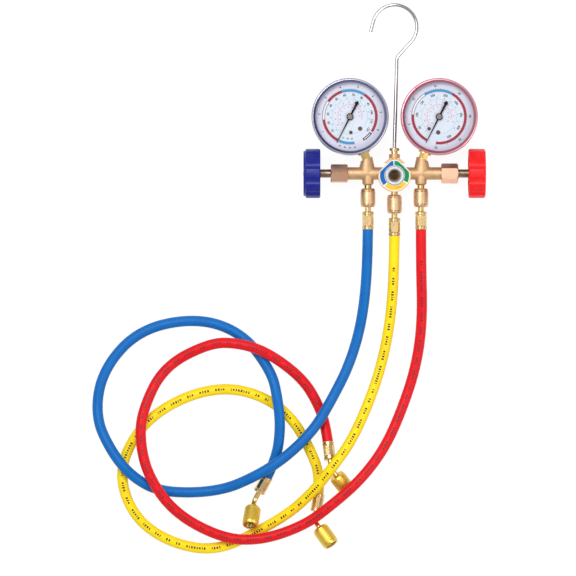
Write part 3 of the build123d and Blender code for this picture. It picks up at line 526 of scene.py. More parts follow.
@dataclass(frozen=True)
class Bezel:
    """Spun metal ring with painted reflection: a pale outer rim of painted reflection, a dark
    turned band of painted shade and a softer inner slope; the band is painted paler towards one
    side.
    """

    name: str
    rim: Colour
    band: Colour
    slope: Colour
    centre: Place
    fade: float = 0.6
    rim_edge: Pair = (34.6 * MM, 35.2 * MM)
    band_edge: Pair = (32.8 * MM, 33.2 * MM)
    dark_side: float = 60.0

    def material(self) -> Material:
        """Build the material.

        Returns:
            The material.
        """
        paint = Paint(self.name)
        radius, angle, _ = paint.round_about(paint.place(self.centre))
        uneven = paint.noise(paint.place(), 90.0, 2.0)
        turned = (radius * 42000.0).wave() * 0.5 + 0.5
        # Painted light: the band is mixed towards the paler slope colour on one side of the ring
        # and stays dark on the other.
        painted_light_side = ((angle - self.dark_side) * math.radians(1.0)).cosine() * 0.5 + 0.5
        band = paint.mix(painted_light_side * self.fade, self.band, self.slope)
        # Painted reflection: the pale rim and the dark band stand for bright and dark surroundings
        # mirrored in the ring.
        inner = paint.mix(radius.smooth(*self.band_edge), self.slope, band)
        return paint.shade(
            Base_Color=paint.mix(radius.smooth(*self.rim_edge), inner, self.rim),
            Metallic=0.75,
            Roughness=uneven * 0.12 + 0.24,
            Normal=paint.bump(turned, 0.00001, 0.5),
        )


@dataclass(frozen=True)
class Glass:
    """Clear window that lets the dial's light through."""

    name: str
    tint: Colour
    alpha: float

    def material(self) -> Material:
        """Build the material.

        Returns:
            The material.
        """
        paint = Paint(self.name)
        dust = paint.noise(paint.place(), 120.0, 2.0)
        return paint.shade(
            Base_Color=paint.mix(dust * 0.3, self.tint, srgb(90, 92, 98)),
            Roughness=dust * 0.04 + 0.03,
            Alpha=dust * 0.03 + self.alpha,
            Specular_IOR_Level=0.15,
            IOR=1.45,
        )


@dataclass(frozen=True)
class SightGlass:
    """Window over a deep bore, with painted shade making it darker towards its middle."""

    name: str
    centre: Place
    bore_edge: Pair = (1.6 * MM, 4.6 * MM)

    def material(self) -> Material:
        """Build the material.

        Returns:
            The material.
        """
        paint = Paint(self.name)
        radius, _, _ = paint.round_about(paint.place(self.centre))
        # Painted shade: dark brown and less clear towards the middle, standing for the shaded bore
        # behind the window.
        depth = 1 - radius.smooth(*self.bore_edge)
        dust = paint.noise(paint.place(), 300.0, 2.0)
        return paint.shade(
            Base_Color=paint.mix(dust * 0.4, srgb(62, 44, 18), srgb(90, 66, 34)),
            Roughness=dust * 0.05 + 0.04,
            Alpha=depth * 0.7 + 0.12,
            Specular_IOR_Level=0.25,
        )


class Band(Enum):
    """Colours of a dial's coloured band."""

    RED = srgb(164, 26, 48)
    BLUE = srgb(58, 152, 204)
    WHITE = srgb(246, 248, 252)
    BOXED = srgb(244, 246, 250)


class Field(Enum):
    """Colours of the sight label's fields."""

    BLUE = srgb(8, 98, 178)
    GREEN = srgb(10, 138, 84)
    YELLOW = srgb(250, 192, 52)


@dataclass(frozen=True)
class Arc:
    """One stretch of a coloured ring, in degrees clockwise from the top."""

    start: float
    end: float
    colour: Union[Band, Field]

    def mask(self, angle: Value, margin: float = 0.0) -> Value:
        """1 on the stretch and 0 elsewhere.

        Args:
            angle: degrees clockwise from the top.
            margin: degrees left off at both ends.

        Returns:
            The mask.
        """
        if self.start < self.end:
            return angle.between(self.start + margin, self.end - margin)
        return 1 - angle.between(self.end - margin, self.start + margin)


@dataclass(frozen=True)
class DialFace:
    """Printed dial: pale ground, coloured pressure band and fine temperature rings, with painted
    shade round the zero adjuster.
    """

    name: str
    centre: Place
    arcs: tuple[Arc, ...]
    adjuster: Pair
    band_inner: float = 23.7 * MM
    band_outer: float = 26.3 * MM
    outline: float = 0.45 * MM
    box: float = 0.9 * MM
    box_end: float = 2.4
    middle_edge: Pair = (22.0 * MM, 24.0 * MM)
    cell_ring: Pair = (15.5 * MM, 16.6 * MM)
    inner_ring: Pair = (16.6 * MM, 17.0 * MM)
    outer_ring: Pair = (19.6 * MM, 19.9 * MM)
    pink_ring: float = 11.4 * MM
    pink_half: float = 0.25 * MM
    pink_ticks: float = 1.4 * MM
    pink_gap: Pair = (105.0, 220.0)
    adjuster_edge: Pair = (2.0 * MM, 2.3 * MM)

    def band(self, radius: Value, inset: float) -> Value:
        """The coloured band's ring, made narrower on both sides by an inset."""
        return radius.between(self.band_inner + inset, self.band_outer - inset)

    def material(self) -> Material:
        """Build the material.

        Returns:
            The material.
        """
        paint = Paint(self.name)
        radius, angle, _ = paint.round_about(paint.place(self.centre))
        middle = radius.smooth(*self.middle_edge)
        ground = paint.mix(middle, srgb(228, 236, 250), srgb(228, 229, 248))
        rings = radius.between(*self.inner_ring) + radius.between(*self.outer_ring)
        cells = ((angle * math.radians(72)).wave() > 0.2) * radius.between(*self.cell_ring)
        ground = paint.mix(rings * 0.4 + cells * 0.3, ground, srgb(120, 185, 200))
        start = self.pink_ring
        line = radius.between(start - self.pink_half, start + self.pink_half)
        ticks = (angle * math.radians(45)).wave() > 0.7
        ticks = radius.between(start, start + self.pink_ticks) * ticks
        pink = (line + ticks) * (1 - angle.between(*self.pink_gap))
        ground = paint.mix(pink * 0.55, ground, srgb(214, 120, 150))
        for arc in self.arcs:
            here = self.band(radius, 0.0) * arc.mask(angle)
            if arc.colour is Band.WHITE:
                ground = paint.mix(here, ground, srgb(46, 50, 66))
                here = self.band(radius, self.outline) * arc.mask(angle)
            elif arc.colour is Band.BOXED:
                ground = paint.mix(here, ground, srgb(8, 8, 14))
                here = self.band(radius, self.box) * arc.mask(angle, self.box_end)
            ground = paint.mix(here, ground, arc.colour.value)
        # Painted shade: a dark disc round the zero adjuster's screw, where it sits in the dial.
        x, y, z = self.centre
        aside = (x + self.adjuster[0], y + self.adjuster[1], z)
        beside, _, _ = paint.round_about(paint.place(aside))
        shade = (1 - beside.smooth(*self.adjuster_edge)) * 0.85
        return paint.shade(
            Base_Color=paint.mix(shade, ground, srgb(66, 62, 78)),
            Roughness=paint.noise(paint.place(), 300.0) * 0.1 + 0.45,
        )


@dataclass(frozen=True)
class LabelFace:
    """Printed ring round the sight glass: three coloured fields on white, with short bars."""

    name: str
    centre: Place
    ring: Pair = (9.7 * MM, 13.9 * MM)
    bars: Pair = (11.0 * MM, 12.4 * MM)
    flat_distance: float = 12.1 * MM
    flat_angle: float = 44.0
    fields: tuple[Arc, ...] = (
        Arc(228, 355, Field.BLUE), Arc(359, 119, Field.GREEN), Arc(124, 223, Field.YELLOW),
    )
    groups: tuple[Pair, ...] = ((262, 292), (25, 48), (62, 98), (150, 176))

    def material(self) -> Material:
        """Build the material.

        Returns:
            The material.
        """
        paint = Paint(self.name)
        place = paint.place(self.centre)
        radius, angle, _ = paint.round_about(place)
        x, y, _ = paint.parts(place)
        across = x * math.sin(math.radians(self.flat_angle))
        upward = y * math.cos(math.radians(self.flat_angle))
        shown = radius.between(*self.ring)
        for side in (upward + across, upward - across):
            shown = shown * (side < self.flat_distance)
        paper = srgb(236, 238, 242)
        fields = paper
        for arc in self.fields:
            fields = paint.mix(arc.mask(angle), fields, arc.colour.value)
        groups = [angle.between(*group) for group in self.groups]
        marks = (angle * math.radians(1440)).wave() > 0.25
        printed = marks * sum(groups[1:], groups[0]) * radius.between(*self.bars)
        ground = paint.mix(shown, paper, fields)
        return paint.shade(
            Base_Color=paint.mix(printed * 0.75, ground, srgb(25, 60, 80)),
            Roughness=paint.noise(paint.place(), 400.0) * 0.1 + 0.5,
            Specular_IOR_Level=0.2,
        )


@dataclass(frozen=True)
class PointerFace:
    """Matt black pointer whose hub is capped in bare metal, with a ring of painted shade on the
    cap.
    """

    name: str
    centre: Place
    cap_edge: Pair = (2.2 * MM, 2.5 * MM)
    groove: Pair = (0.9 * MM, 1.3 * MM)

    def material(self) -> Material:
        """Build the material.

        Returns:
            The material.
        """
        paint = Paint(self.name)
        radius, _, _ = paint.round_about(paint.place(self.centre))
        cap = 1 - radius.smooth(*self.cap_edge)
        # Painted shade: a dark ring on the metal cap where a groove would lie.
        metal = paint.mix(radius.between(*self.groove), srgb(158, 148, 140), srgb(84, 78, 76))
        fleck = paint.noise(paint.place(), 1200.0)
        return paint.shade(
            Base_Color=paint.mix(cap, srgb(6, 6, 14), metal),
            Metallic=cap * 0.6,
            Roughness=fleck * 0.1 + 0.5,
            Specular_IOR_Level=0.15,
        )


# Making and dressing pieces
def joint_line(name: str) -> tuple[Vector, Vector]:
    """Where a joint's axis lies.

    Args:
        name: the joint's name.

    Returns:
        A point on the axis and its direction.
    """
    joint = next(joint for joint in frame["joints"] if joint["name"] == name)
    return Vector(joint["pos_m"]), Vector(joint["axis"]).normalized()


def dress(material: Material, *nodes: str) -> None:
    """Give solids of the frame a material.

    Args:
        material: the finish.
        nodes: the names of the solids.
    """
    for name in nodes:
        mesh = frame["nodes"][name].data
        mesh.materials.clear()
        mesh.materials.append(material)
        for polygon in mesh.polygons:
            polygon.material_index = 0


def dress_necks(material: Material) -> None:
    """Give the body's three turned port necks a finish of their own.

    Args:
        material: the finish.
    """
    line, _ = joint_line("low_knob_turn")
    body = frame["nodes"]["manifold_body"]
    body.data.materials.append(material)
    for polygon in body.data.polygons:
        centre = body.matrix_world @ polygon.center
        below_housing = abs(centre.x) < HOUSING_REACH
        if centre.y < line.y - (HOUSING_EDGE if below_housing else BOSS_EDGE):
            polygon.material_index = 1


def put(name: str, mesh: Mesh, material: Material, body: str) -> Object:
    """Add a finished piece to the set.

    Args:
        name: the piece's name.
        mesh: its shape, in the frame.
        material: its finish.
        body: the body that it moves with.

    Returns:
        The new object.
    """
    piece = bpy.data.objects.new(name, mesh)
    bpy.context.scene.collection.objects.link(piece)
    mesh.materials.clear()
    mesh.materials.append(material)
    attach(piece, body)
    log.info("%s rides on %s", name, body)
    return piece


def mesh_of(shape: BMesh, name: str, smooth: bool = False) -> Mesh:
    """Turn a bmesh into a mesh and free it.

    Args:
        shape: the bmesh.
        name: the mesh's name.
        smooth: whether its faces are shaded smooth.

    Returns:
        The mesh.
    """
    mesh = bpy.data.meshes.new(name)
    for face in shape.faces:
        face.smooth = smooth
    shape.to_mesh(mesh)
    shape.free()
    return mesh


def along(start: Vector, way: Vector) -> Matrix:
    """The matrix that puts local z on a line in the frame."""
    return Matrix.Translation(start) @ way.to_track_quat("Z", "Y").to_matrix().to_4x4()


@dataclass
class Thread:
    """A screw thread's ridge, wound by one spin of its section."""

    start: Vector
    way: Vector
    length: float
    pitch: float
    root: float
    crest: float
    steps: int = 28

    def mesh(self, name: str) -> Mesh:
        """Wind the ridge.

        Args:
            name: the mesh's name.

        Returns:
            The ridge's mesh, in the frame.
        """
        shape = bmesh.new()
        half = self.pitch * 0.46
        flat = self.pitch * 0.1
        section = [(self.root, -half), (self.crest, -flat), (self.crest, flat), (self.root, half)]
        corners = [shape.verts.new((radius, 0, height + half)) for radius, height in section]
        edges = [shape.edges.new((a, b)) for a, b in zip(corners, corners[1:] + corners[:1])]
        turns = (self.length - 2 * half) / self.pitch
        count = round(turns * self.steps)
        bmesh.ops.spin(
            shape,
            geom=corners + edges,
            cent=(0, 0, 0),
            axis=(0, 0, 1),
            dvec=(0, 0, self.pitch / self.steps),
            angle=math.tau * count / self.steps,
            steps=count,
            use_duplicate=False,
        )
        ends = [edge for edge in shape.edges if edge.is_boundary]
        bmesh.ops.holes_fill(shape, edges=ends, sides=4)
        bmesh.ops.recalc_face_normals(shape, faces=shape.faces)
        shape.transform(along(self.start, self.way))
        return mesh_of(shape, name, smooth=True)


@dataclass
class HandValve:
    """One hand valve: knob, knob screw, threaded stem and seal."""

    side: str
    knob: Plastic
    stem_root: float = 3.45 * MM
    stem_crest: float = 3.98 * MM
    thread_length: float = 12.4 * MM
    thread_pitch: float = 1.25 * MM

    def build(self, steel: Material, thread: Material, packing: Material) -> None:
        """Dress the valve and wind its stem's thread.

        Args:
            steel: finish of the screw.
            thread: finish of the stem.
            packing: finish of the seal.
        """
        side = self.side
        dress(self.knob.material(), f"{side}_knob")
        dress(thread, f"{side}_valve_stem")
        dress(steel, f"{side}_knob_screw")
        dress(packing, f"{side}_seal_plunger")
        knob_face, way = joint_line(f"{side}_knob_turn")
        start = knob_face - way * self.thread_length
        ridge = Thread(
            start, way, self.thread_length, self.thread_pitch, self.stem_root, self.stem_crest
        ).mesh("stem_thread")
        put(f"{side}_stem_thread", ridge, thread, f"{side}_handle")


class Ink(Enum):
    """Colours that the figures are printed in."""

    BLACK = srgb(40, 42, 56)
    PINK = srgb(206, 110, 140)
    CYAN = srgb(110, 178, 196)


@dataclass
class Scale:
    """A row of numbers round a dial."""

    numbers: tuple[tuple[str, float], ...]
    radius: float
    height: float
    ink: Ink = Ink.BLACK
    weight: float = 0.03

    def outlines(self, centre: Vector) -> BMesh:
        """Set the numbers round the dial, each standing on the arc.

        Args:
            centre: the dial's centre, at the print's height.

        Returns:
            The numbers' faces.
        """
        shape = bmesh.new()
        for word, angle in self.numbers:
            letters = bpy.data.curves.new("figures", "FONT")
            letters.body = word
            letters.size = self.height
            letters.offset = self.height * self.weight
            letters.align_x = "CENTER"
            letters.align_y = "CENTER"
            letters.resolution_u = 2
            writer = bpy.data.objects.new("figures", letters)
            flat = bpy.data.meshes.new_from_object(writer)
            turn = math.radians(angle)
            flat.transform(
                Matrix.Translation(centre) @ Matrix.Rotation(-turn, 4, "Z")
                @ Matrix.Translation((0, self.radius, 0))
            )
            shape.from_mesh(flat)
            bpy.data.objects.remove(writer)
            bpy.data.curves.remove(letters)
            bpy.data.meshes.remove(flat)
        return shape


@dataclass
class Graduations:
    """Equal ticks along an arc, every few of them longer."""

    start: float
    end: float
    count: int
    every: int
    inner: float
    short: float
    long: float
    width: float = 0.22 * MM

    def add_to(self, shape: BMesh, centre: Vector) -> None:
        """Draw the ticks into a bmesh.

        Args:
            shape: the bmesh that gets them.
            centre: the dial's centre, at the print's height.
        """
        for index in range(self.count + 1):
            angle = math.radians(self.start + (self.end - self.start) * index / self.count)
            length = self.long if index % self.every == 0 else self.short
            place = (
                Matrix.Translation(centre) @ Matrix.Rotation(-angle, 4, "Z")
                @ Matrix.Translation((0, self.inner + length / 2, 0))
                @ Matrix.Diagonal((self.width, length, 1, 1))
            )
            bmesh.ops.create_grid(shape, x_segments=1, y_segments=1, size=0.5, matrix=place)


@dataclass
class Pointer:
    """A dial pointer: slim needle, spade-ended tail and a domed hub with a small boss."""

    side: str
    centre: Vector
    foot: float
    rest: float = 207.0
    reach: float = 27.4 * MM
    tail: float = 14.4 * MM
    spade: float = 2.0 * MM
    lift: float = 0.8 * MM
    thickness: float = 0.5 * MM
    hub: float = 3.3 * MM
    hub_height: float = 2.0 * MM

    def outline(self) -> list[Pair]:
        """Draw the needle, pointing along x.

        Returns:
            Its corners, from its tip round to its tip.
        """
        half = [
            (self.reach, 0.3 * MM),
            (self.reach * 0.5, 0.5 * MM),
            (0, 0.85 * MM),
            (self.spade - self.tail, 1.0 * MM),
            (-self.tail, self.spade),
            (-self.tail - self.spade, 0.5 * MM),
        ]
        return half + [(x, -y) for x, y in reversed(half)]

    def mesh(self) -> Mesh:
        """Shape the needle and its hub.

        Returns:
            The pointer's mesh, in the frame.
        """
        shape = bmesh.new()
        face = shape.faces.new([shape.verts.new((x, y, self.lift)) for x, y in self.outline()])
        raised = bmesh.ops.extrude_face_region(shape, geom=[face])
        corners = [item for item in raised["geom"] if isinstance(item, BMVert)]
        bmesh.ops.translate(shape, verts=corners, vec=(0, 0, self.thickness))
        self.step(shape, self.hub, 0, self.hub_height)
        self.step(shape, self.hub * 0.45, self.hub_height - 0.1 * MM, self.hub_height + 0.3 * MM)
        bmesh.ops.recalc_face_normals(shape, faces=shape.faces)
        turn = Matrix.Rotation(math.radians(90 - self.rest), 4, "Z")
        shape.transform(Matrix.Translation((self.centre.x, self.centre.y, self.foot)) @ turn)
        return mesh_of(shape, f"{self.side}_pointer_shape")

    def step(self, shape: BMesh, radius: float, bottom: float, top: float) -> None:
        """Add a round step with a bevelled top edge.

        Args:
            shape: the bmesh that gets it.
            radius: its radius.
            bottom: height of its foot.
            top: height of its top.
        """
        middle = Matrix.Translation((0, 0, (bottom + top) / 2))
        made = bmesh.ops.create_cone(
            shape, cap_ends=True, segments=48, radius1=radius, radius2=radius,
            depth=top - bottom, matrix=middle,
        )
        upper = {corner for corner in made["verts"] if corner.co.z > middle.translation.z}
        rim = [edge for edge in shape.edges if upper.issuperset(edge.verts)]
        bmesh.ops.bevel(
            shape, geom=rim, affect="EDGES", offset=min(0.3 * MM, (top - bottom) / 3), segments=3,
            profile=0.5, material=-1,
        )

    def build(self, material: Material) -> None:
        """Put the pointer in place of its plain solid.

        Args:
            material: its finish.
        """
        side = self.side
        piece = put(f"{side}_pointer_needle", self.mesh(), material, f"{side}_needle")
        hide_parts(f"{side}_pointer")


@dataclass
class SightLabel:
    """Paper ring on the sight housing's face, with a flat beside each shoulder."""

    centre: Vector
    bottom: float
    radius: float = 14.5 * MM
    hole: float = 9.4 * MM
    flat_distance: float = 12.7 * MM
    flat_angle: float = 44.0
    thickness: float = 0.38 * MM
    steps: int = 144

    def mesh(self) -> Mesh:
        """Cut the ring out and take the two flats off it.

        Returns:
            The label's mesh, in the frame.
        """
        shape = bmesh.new()
        for radius in (self.radius, self.hole):
            bmesh.ops.create_circle(shape, segments=self.steps, radius=radius)
        bmesh.ops.bridge_loops(shape, edges=shape.edges[:])
        for side in (-1, 1):
            turn = math.radians(side * self.flat_angle)
            outward = Vector((math.sin(turn), math.cos(turn), 0))
            bmesh.ops.bisect_plane(
                shape, geom=shape.verts[:] + shape.edges[:] + shape.faces[:],
                plane_co=outward * self.flat_distance, plane_no=outward, clear_outer=True,
            )
        raised = bmesh.ops.extrude_face_region(shape, geom=shape.faces[:])
        top = [item for item in raised["geom"] if isinstance(item, BMVert)]
        bmesh.ops.translate(shape, verts=top, vec=(0, 0, self.thickness))
        bmesh.ops.recalc_face_normals(shape, faces=shape.faces)
        shape.transform(Matrix.Translation((self.centre.x, self.centre.y, self.bottom)))
        return mesh_of(shape, "sight_label_shape")

    def build(self) -> None:
        """Put the printed label in place of the plain one."""
        face = LabelFace("sight_label_print", tuple(self.centre)).material()
        piece = put("sight_label_paper", self.mesh(), face, ROOT_BODY)
        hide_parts("sight_label")


@dataclass
class Gauge:
    """One pressure gauge: shell, window, printed dial and its movement."""

    side: str
    # Bezel colours, with painted reflection on the rim and painted shade on the band:
    rim: Colour
    band: Colour
    slope: Colour
    adjuster: Pair
    arcs: tuple[Arc, ...]
    scales: tuple[Scale, ...]
    ticks: tuple[Graduations, ...]
    ink_gap: float = 0.06 * MM
    shared_finishes: tuple[tuple[str, str], ...] = (
        ("gauge_case", "case_steel"), ("gauge_lens", "lens_clear"), ("gauge_socket", "stem_brass"),
        ("bourdon_tube", "tube_bronze"), ("movement_frame", "movement_brass"),
        ("pinion", "movement_brass"), ("sector_gear", "movement_brass"),
        ("tip_link", "movement_brass"),
    )

    def build(self, shared: dict[str, Material]) -> None:
        """Dress the gauge and print its dial.

        Args:
            shared: finishes that both gauges use, by name.
        """
        side = self.side
        pivot, _ = joint_line(f"{side}_needle_turn")
        centre = tuple(pivot)
        metal = Bezel(f"{side}_bezel_metal", self.rim, self.band, self.slope, centre)
        dress(metal.material(), f"{side}_gauge_bezel")
        face = DialFace(f"{side}_dial_face", centre, self.arcs, self.adjuster)
        dress(face.material(), f"{side}_dial")
        for piece, finish in self.shared_finishes:
            dress(shared[finish], f"{side}_{piece}")
        middle = Vector((pivot.x, pivot.y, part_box(f"{side}_dial")[1].z + self.ink_gap))
        for number, scale in enumerate(self.scales):
            figures = mesh_of(scale.outlines(middle), "dial_figures")
            ink = shared[scale.ink.name]
            put(f"{side}_dial_figures_{number}", figures, ink, ROOT_BODY)
        lines = bmesh.new()
        for row in self.ticks:
            row.add_to(lines, middle)
        ink = shared[Ink.BLACK.name]
        put(f"{side}_dial_ticks", mesh_of(lines, "dial_ticks"), ink, ROOT_BODY)
        pointer = Pointer(side, Vector(centre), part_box(f"{side}_pointer")[0].z)
        pointer.build(PointerFace(f"{side}_pointer_black", centre).material())


@dataclass
class Hose:
    """A charging hose: its cover and the print along it."""

    name: str
    cover: HoseCover
    length: float
    route: tuple[Place, ...]
    groups: tuple[int, ...] = ()
    ink: Colour = srgb(40, 36, 24)
    diameter: float = 10.0 * MM
    bare_start: float = 45.0 * MM
    bare_end: float = 40.0 * MM
    bar_gap: float = 1.1 * MM
    group_gap: float = 5.0 * MM
    ink_rise: float = 0.03 * MM

    def points(self) -> list[Vector]:
        """The route's points in the frame: y is counted from the valves' axis in the list."""
        line, _ = joint_line("low_knob_turn")
        return [Vector((x * MM, line.y + y * MM, z * MM)) for x, y, z in self.route]

    def curve(self, thick: bool) -> Curve:
        """The route as one smooth spline.

        Args:
            thick: whether it has the hose's thickness.

        Returns:
            The curve.
        """
        line = bpy.data.curves.new(f"{self.name}_hose_line", "CURVE")
        line.dimensions = "3D"
        line.resolution_u = 12
        spline = line.splines.new("NURBS")
        points = self.points()
        spline.points.add(len(points) - 1)
        for place, point in zip(spline.points, points):
            place.co = (*point, 1.0)
        spline.order_u = 3
        spline.use_endpoint_u = True
        if thick:
            line.bevel_depth = self.diameter / 2
            line.bevel_resolution = 6
            line.use_fill_caps = True
        return line

    def centreline(self) -> list[Vector]:
        """Read the route back from the spline.

        Returns:
            Its points, in order.
        """
        thin = bpy.data.objects.new("hose_line", self.curve(thick=False))
        mesh = bpy.data.meshes.new_from_object(thin)
        points = [vertex.co.copy() for vertex in mesh.vertices]
        bpy.data.objects.remove(thin)
        bpy.data.meshes.remove(mesh)
        return points

    def build(self) -> None:
        """Lay the hose, and print short bars along it."""
        hose = bpy.data.objects.new(f"{self.name}_hose_cover", self.curve(thick=True))
        bpy.context.scene.collection.objects.link(hose)
        hose.data.materials.append(self.cover.material())
        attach(hose, ROOT_BODY)
        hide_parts(f"{self.name}_hose")
        tuple(self.points()[0])
        log.info("%s hose laid, %d points", self.name, len(self.route))
        if self.groups:
            ink = Plain(f"{self.name}_hose_ink", self.ink, 0.5).material()
            put(f"{self.name}_hose_print", self.print_bars(), ink, ROOT_BODY)

    def print_bars(self) -> Mesh:
        """Short bars across the hose's top, in groups.

        Returns:
            The bars' mesh.
        """
        line = self.centreline()
        steps = [(b - a).length for a, b in zip(line, line[1:])]
        end = sum(steps) - self.bare_end
        shape = bmesh.new()
        at = self.bare_start
        group = 0
        while at < end:
            for mark in range(self.groups[group % len(self.groups)]):
                size = MARKS[(mark + 2 * group) % len(MARKS)]
                self.bar(shape, line, steps, at + size[0] / 2, size)
                at += size[0] + self.bar_gap
            at += self.group_gap
            group += 1
        return mesh_of(shape, "hose_print")

    def bar(
        self, shape: BMesh, line: list[Vector], steps: list[float], at: float,
        size: Pair,
    ) -> None:
        """Add one bar, bent to the hose's round top.

        Args:
            shape: the bmesh that gets it.
            line: the hose's centreline.
            steps: lengths between the line's points.
            at: the bar's place along the line.
            size: how long it is along the hose and round it.
        """
        index = 0
        while index < len(steps) - 1 and at > steps[index]:
            at -= steps[index]
            index += 1
        way = (line[index + 1] - line[index]).normalized()
        place = line[index] + way * min(at, steps[index])
        across = Vector((0, 0, 1)).cross(way).normalized()
        up = way.cross(across)
        made = bmesh.ops.create_grid(shape, x_segments=1, y_segments=4, size=0.5)
        radius = self.diameter / 2 + self.ink_rise
        for corner in made["verts"]:
            bend = corner.co.y * size[1] / radius
            outward = across * math.sin(bend) + up * math.cos(bend)
            corner.co = place + way * (corner.co.x * size[0]) + outward * radius


@dataclass
class FreeEnd:
    """The swivel nut at a hose's free end, with its inside thread."""

    name: str
    length: float = 20.0 * MM
    thread_length: float = 10.6 * MM
    bore: float = 5.6 * MM
    crest: float = 5.05 * MM
    pitch: float = 1.27 * MM
    mouth: float = 0.6 * MM
    outer: float = 7.7 * MM

    def build(self, thread: Material) -> None:
        """Wind the thread and knurl the nut.

        Args:
            thread: finish of the thread.
        """
        name = self.name
        back, way = joint_line(f"{name}_end_nut_swivel")
        finish = Knurled(
            f"{name}_end_brass", srgb(238, 208, 96), srgb(206, 168, 58), tuple(back), tuple(way),
            self.length, self.outer, ribs=56, roughness=0.34,
        )
        dress(finish.material(), f"{name}_end_nut")
        start = back + way * (self.length - self.mouth - self.thread_length)
        ridge = Thread(start, way, self.thread_length, self.pitch, self.bore, self.crest)
        shape = ridge.mesh("end_thread")
        put(f"{name}_end_thread", shape, thread, f"{name}_end_swivel")


@dataclass(frozen=True)
class Lamp:
    """A soft box; its place is counted from what it is aimed at."""

    name: str
    place: Place
    width: float
    height: float
    power: float

    def hang(self, aim: Vector) -> None:
        """Hang the lamp and aim it.

        Args:
            aim: the middle of the set, on the floor.
        """
        data = bpy.data.lights.new(self.name, "AREA")
        data.shape = "RECTANGLE"
        data.size = self.width
        data.size_y = self.height
        data.energy = self.power
        lamp = bpy.data.objects.new(self.name, data)
        lamp.location = aim + Vector(self.place)
        lamp.rotation_euler = (aim - lamp.location).to_track_quat("-Z", "Y").to_euler()
        bpy.context.scene.collection.objects.link(lamp)


@dataclass
class Studio:
    """White floor, pale sky, soft lamps and the camera above."""

    frame_width: float = 0.5472
    camera_height: float = 6.0
    aim_height: float = 0.0236
    aim_from_axis: Pair = (-0.1011, -0.1088)
    floor_drop: float = 0.2 * MM
    sky_strength: float = 0.56
    floor_glow: float = 0.92
    lamps: tuple[Lamp, ...] = (
        Lamp("key_lamp", (-0.32, 0.6, 1.6), 1.1, 0.7, 18.0),
        Lamp("fill_lamp", (0.95, -0.45, 1.2), 0.8, 0.8, 6.0),
    )

    def build(self) -> None:
        """Set everything up."""
        line, _ = joint_line("low_knob_turn")
        middle = Vector((self.aim_from_axis[0], line.y + self.aim_from_axis[1], 0))
        self.camera(middle)
        self.floor()
        self.sky()
        for lamp in self.lamps:
            lamp.hang(middle)

    def camera(self, middle: Vector) -> None:
        """Set a long lens straight above the middle of the picture.

        Args:
            middle: the middle of the picture, on the floor.
        """
        data = bpy.data.cameras.new("camera")
        data.sensor_width = 36.0
        data.lens = data.sensor_width * (self.camera_height - self.aim_height) / self.frame_width
        data.clip_end = 50.0
        camera = bpy.data.objects.new("camera", data)
        camera.location = middle + Vector((0, 0, self.camera_height))
        bpy.context.scene.collection.objects.link(camera)
        bpy.context.scene.camera = camera

    def floor(self) -> None:
        """A white floor that keeps only a faint shadow."""
        shape = bmesh.new()
        bmesh.ops.create_grid(shape, x_segments=1, y_segments=1, size=4.0)
        bmesh.ops.translate(shape, verts=shape.verts, vec=(0, 0, -self.floor_drop))
        floor = bpy.data.objects.new("floor", mesh_of(shape, "floor"))
        bpy.context.scene.collection.objects.link(floor)
        paint = Paint("floor_white")
        seen = self.seen(paint)
        matt = paint.node("ShaderNodeBsdfDiffuse", None, (0.14, 0.14, 0.14, 1.0))
        glow = paint.node("ShaderNodeEmission", None, (1.0, 1.0, 1.0, 1.0), self.floor_glow)
        shown = paint.node("ShaderNodeAddShader", None, matt.outputs[0], glow.outputs[0])
        bounce = paint.node("ShaderNodeBsdfDiffuse", None, (0.8, 0.8, 0.8, 1.0))
        either = paint.node("ShaderNodeMixShader", None, seen, bounce.outputs[0], shown.outputs[0])
        paint.tree.links.new(either.outputs[0], paint.tree.nodes["Material Output"].inputs[0])
        floor.data.materials.append(paint.material)

    def seen(self, paint: Paint) -> Value:
        """Find what the camera sees, straight or by gloss or glass.

        Args:
            paint: the material that asks.

        Returns:
            1 for such rays, otherwise 0.
        """
        light = paint.node("ShaderNodeLightPath").outputs
        kinds = ("Camera", "Glossy", "Transmission")
        camera, gloss, glass = (Value(paint, light[f"Is {kind} Ray"]) for kind in kinds)
        return camera.larger(gloss).larger(glass)

    def sky(self) -> None:
        """An even pale sky."""
        world = bpy.data.worlds.new("studio_sky")
        world.use_nodes = True
        background = world.node_tree.nodes["Background"]
        background.inputs[0].default_value = (1.0, 1.0, 1.0, 1.0)
        background.inputs[1].default_value = self.sky_strength
        bpy.context.scene.world = world


# The set
# Sizes of the bars printed on the hoses, along the hose and round it.
MARKS = tuple(
    (along_hose * MM, round_hose * MM)
    for along_hose, round_hose in ((1.5, 2.4), (0.8, 2.4), (1.7, 1.7), (1.1, 2.4), (1.6, 2.1))
)

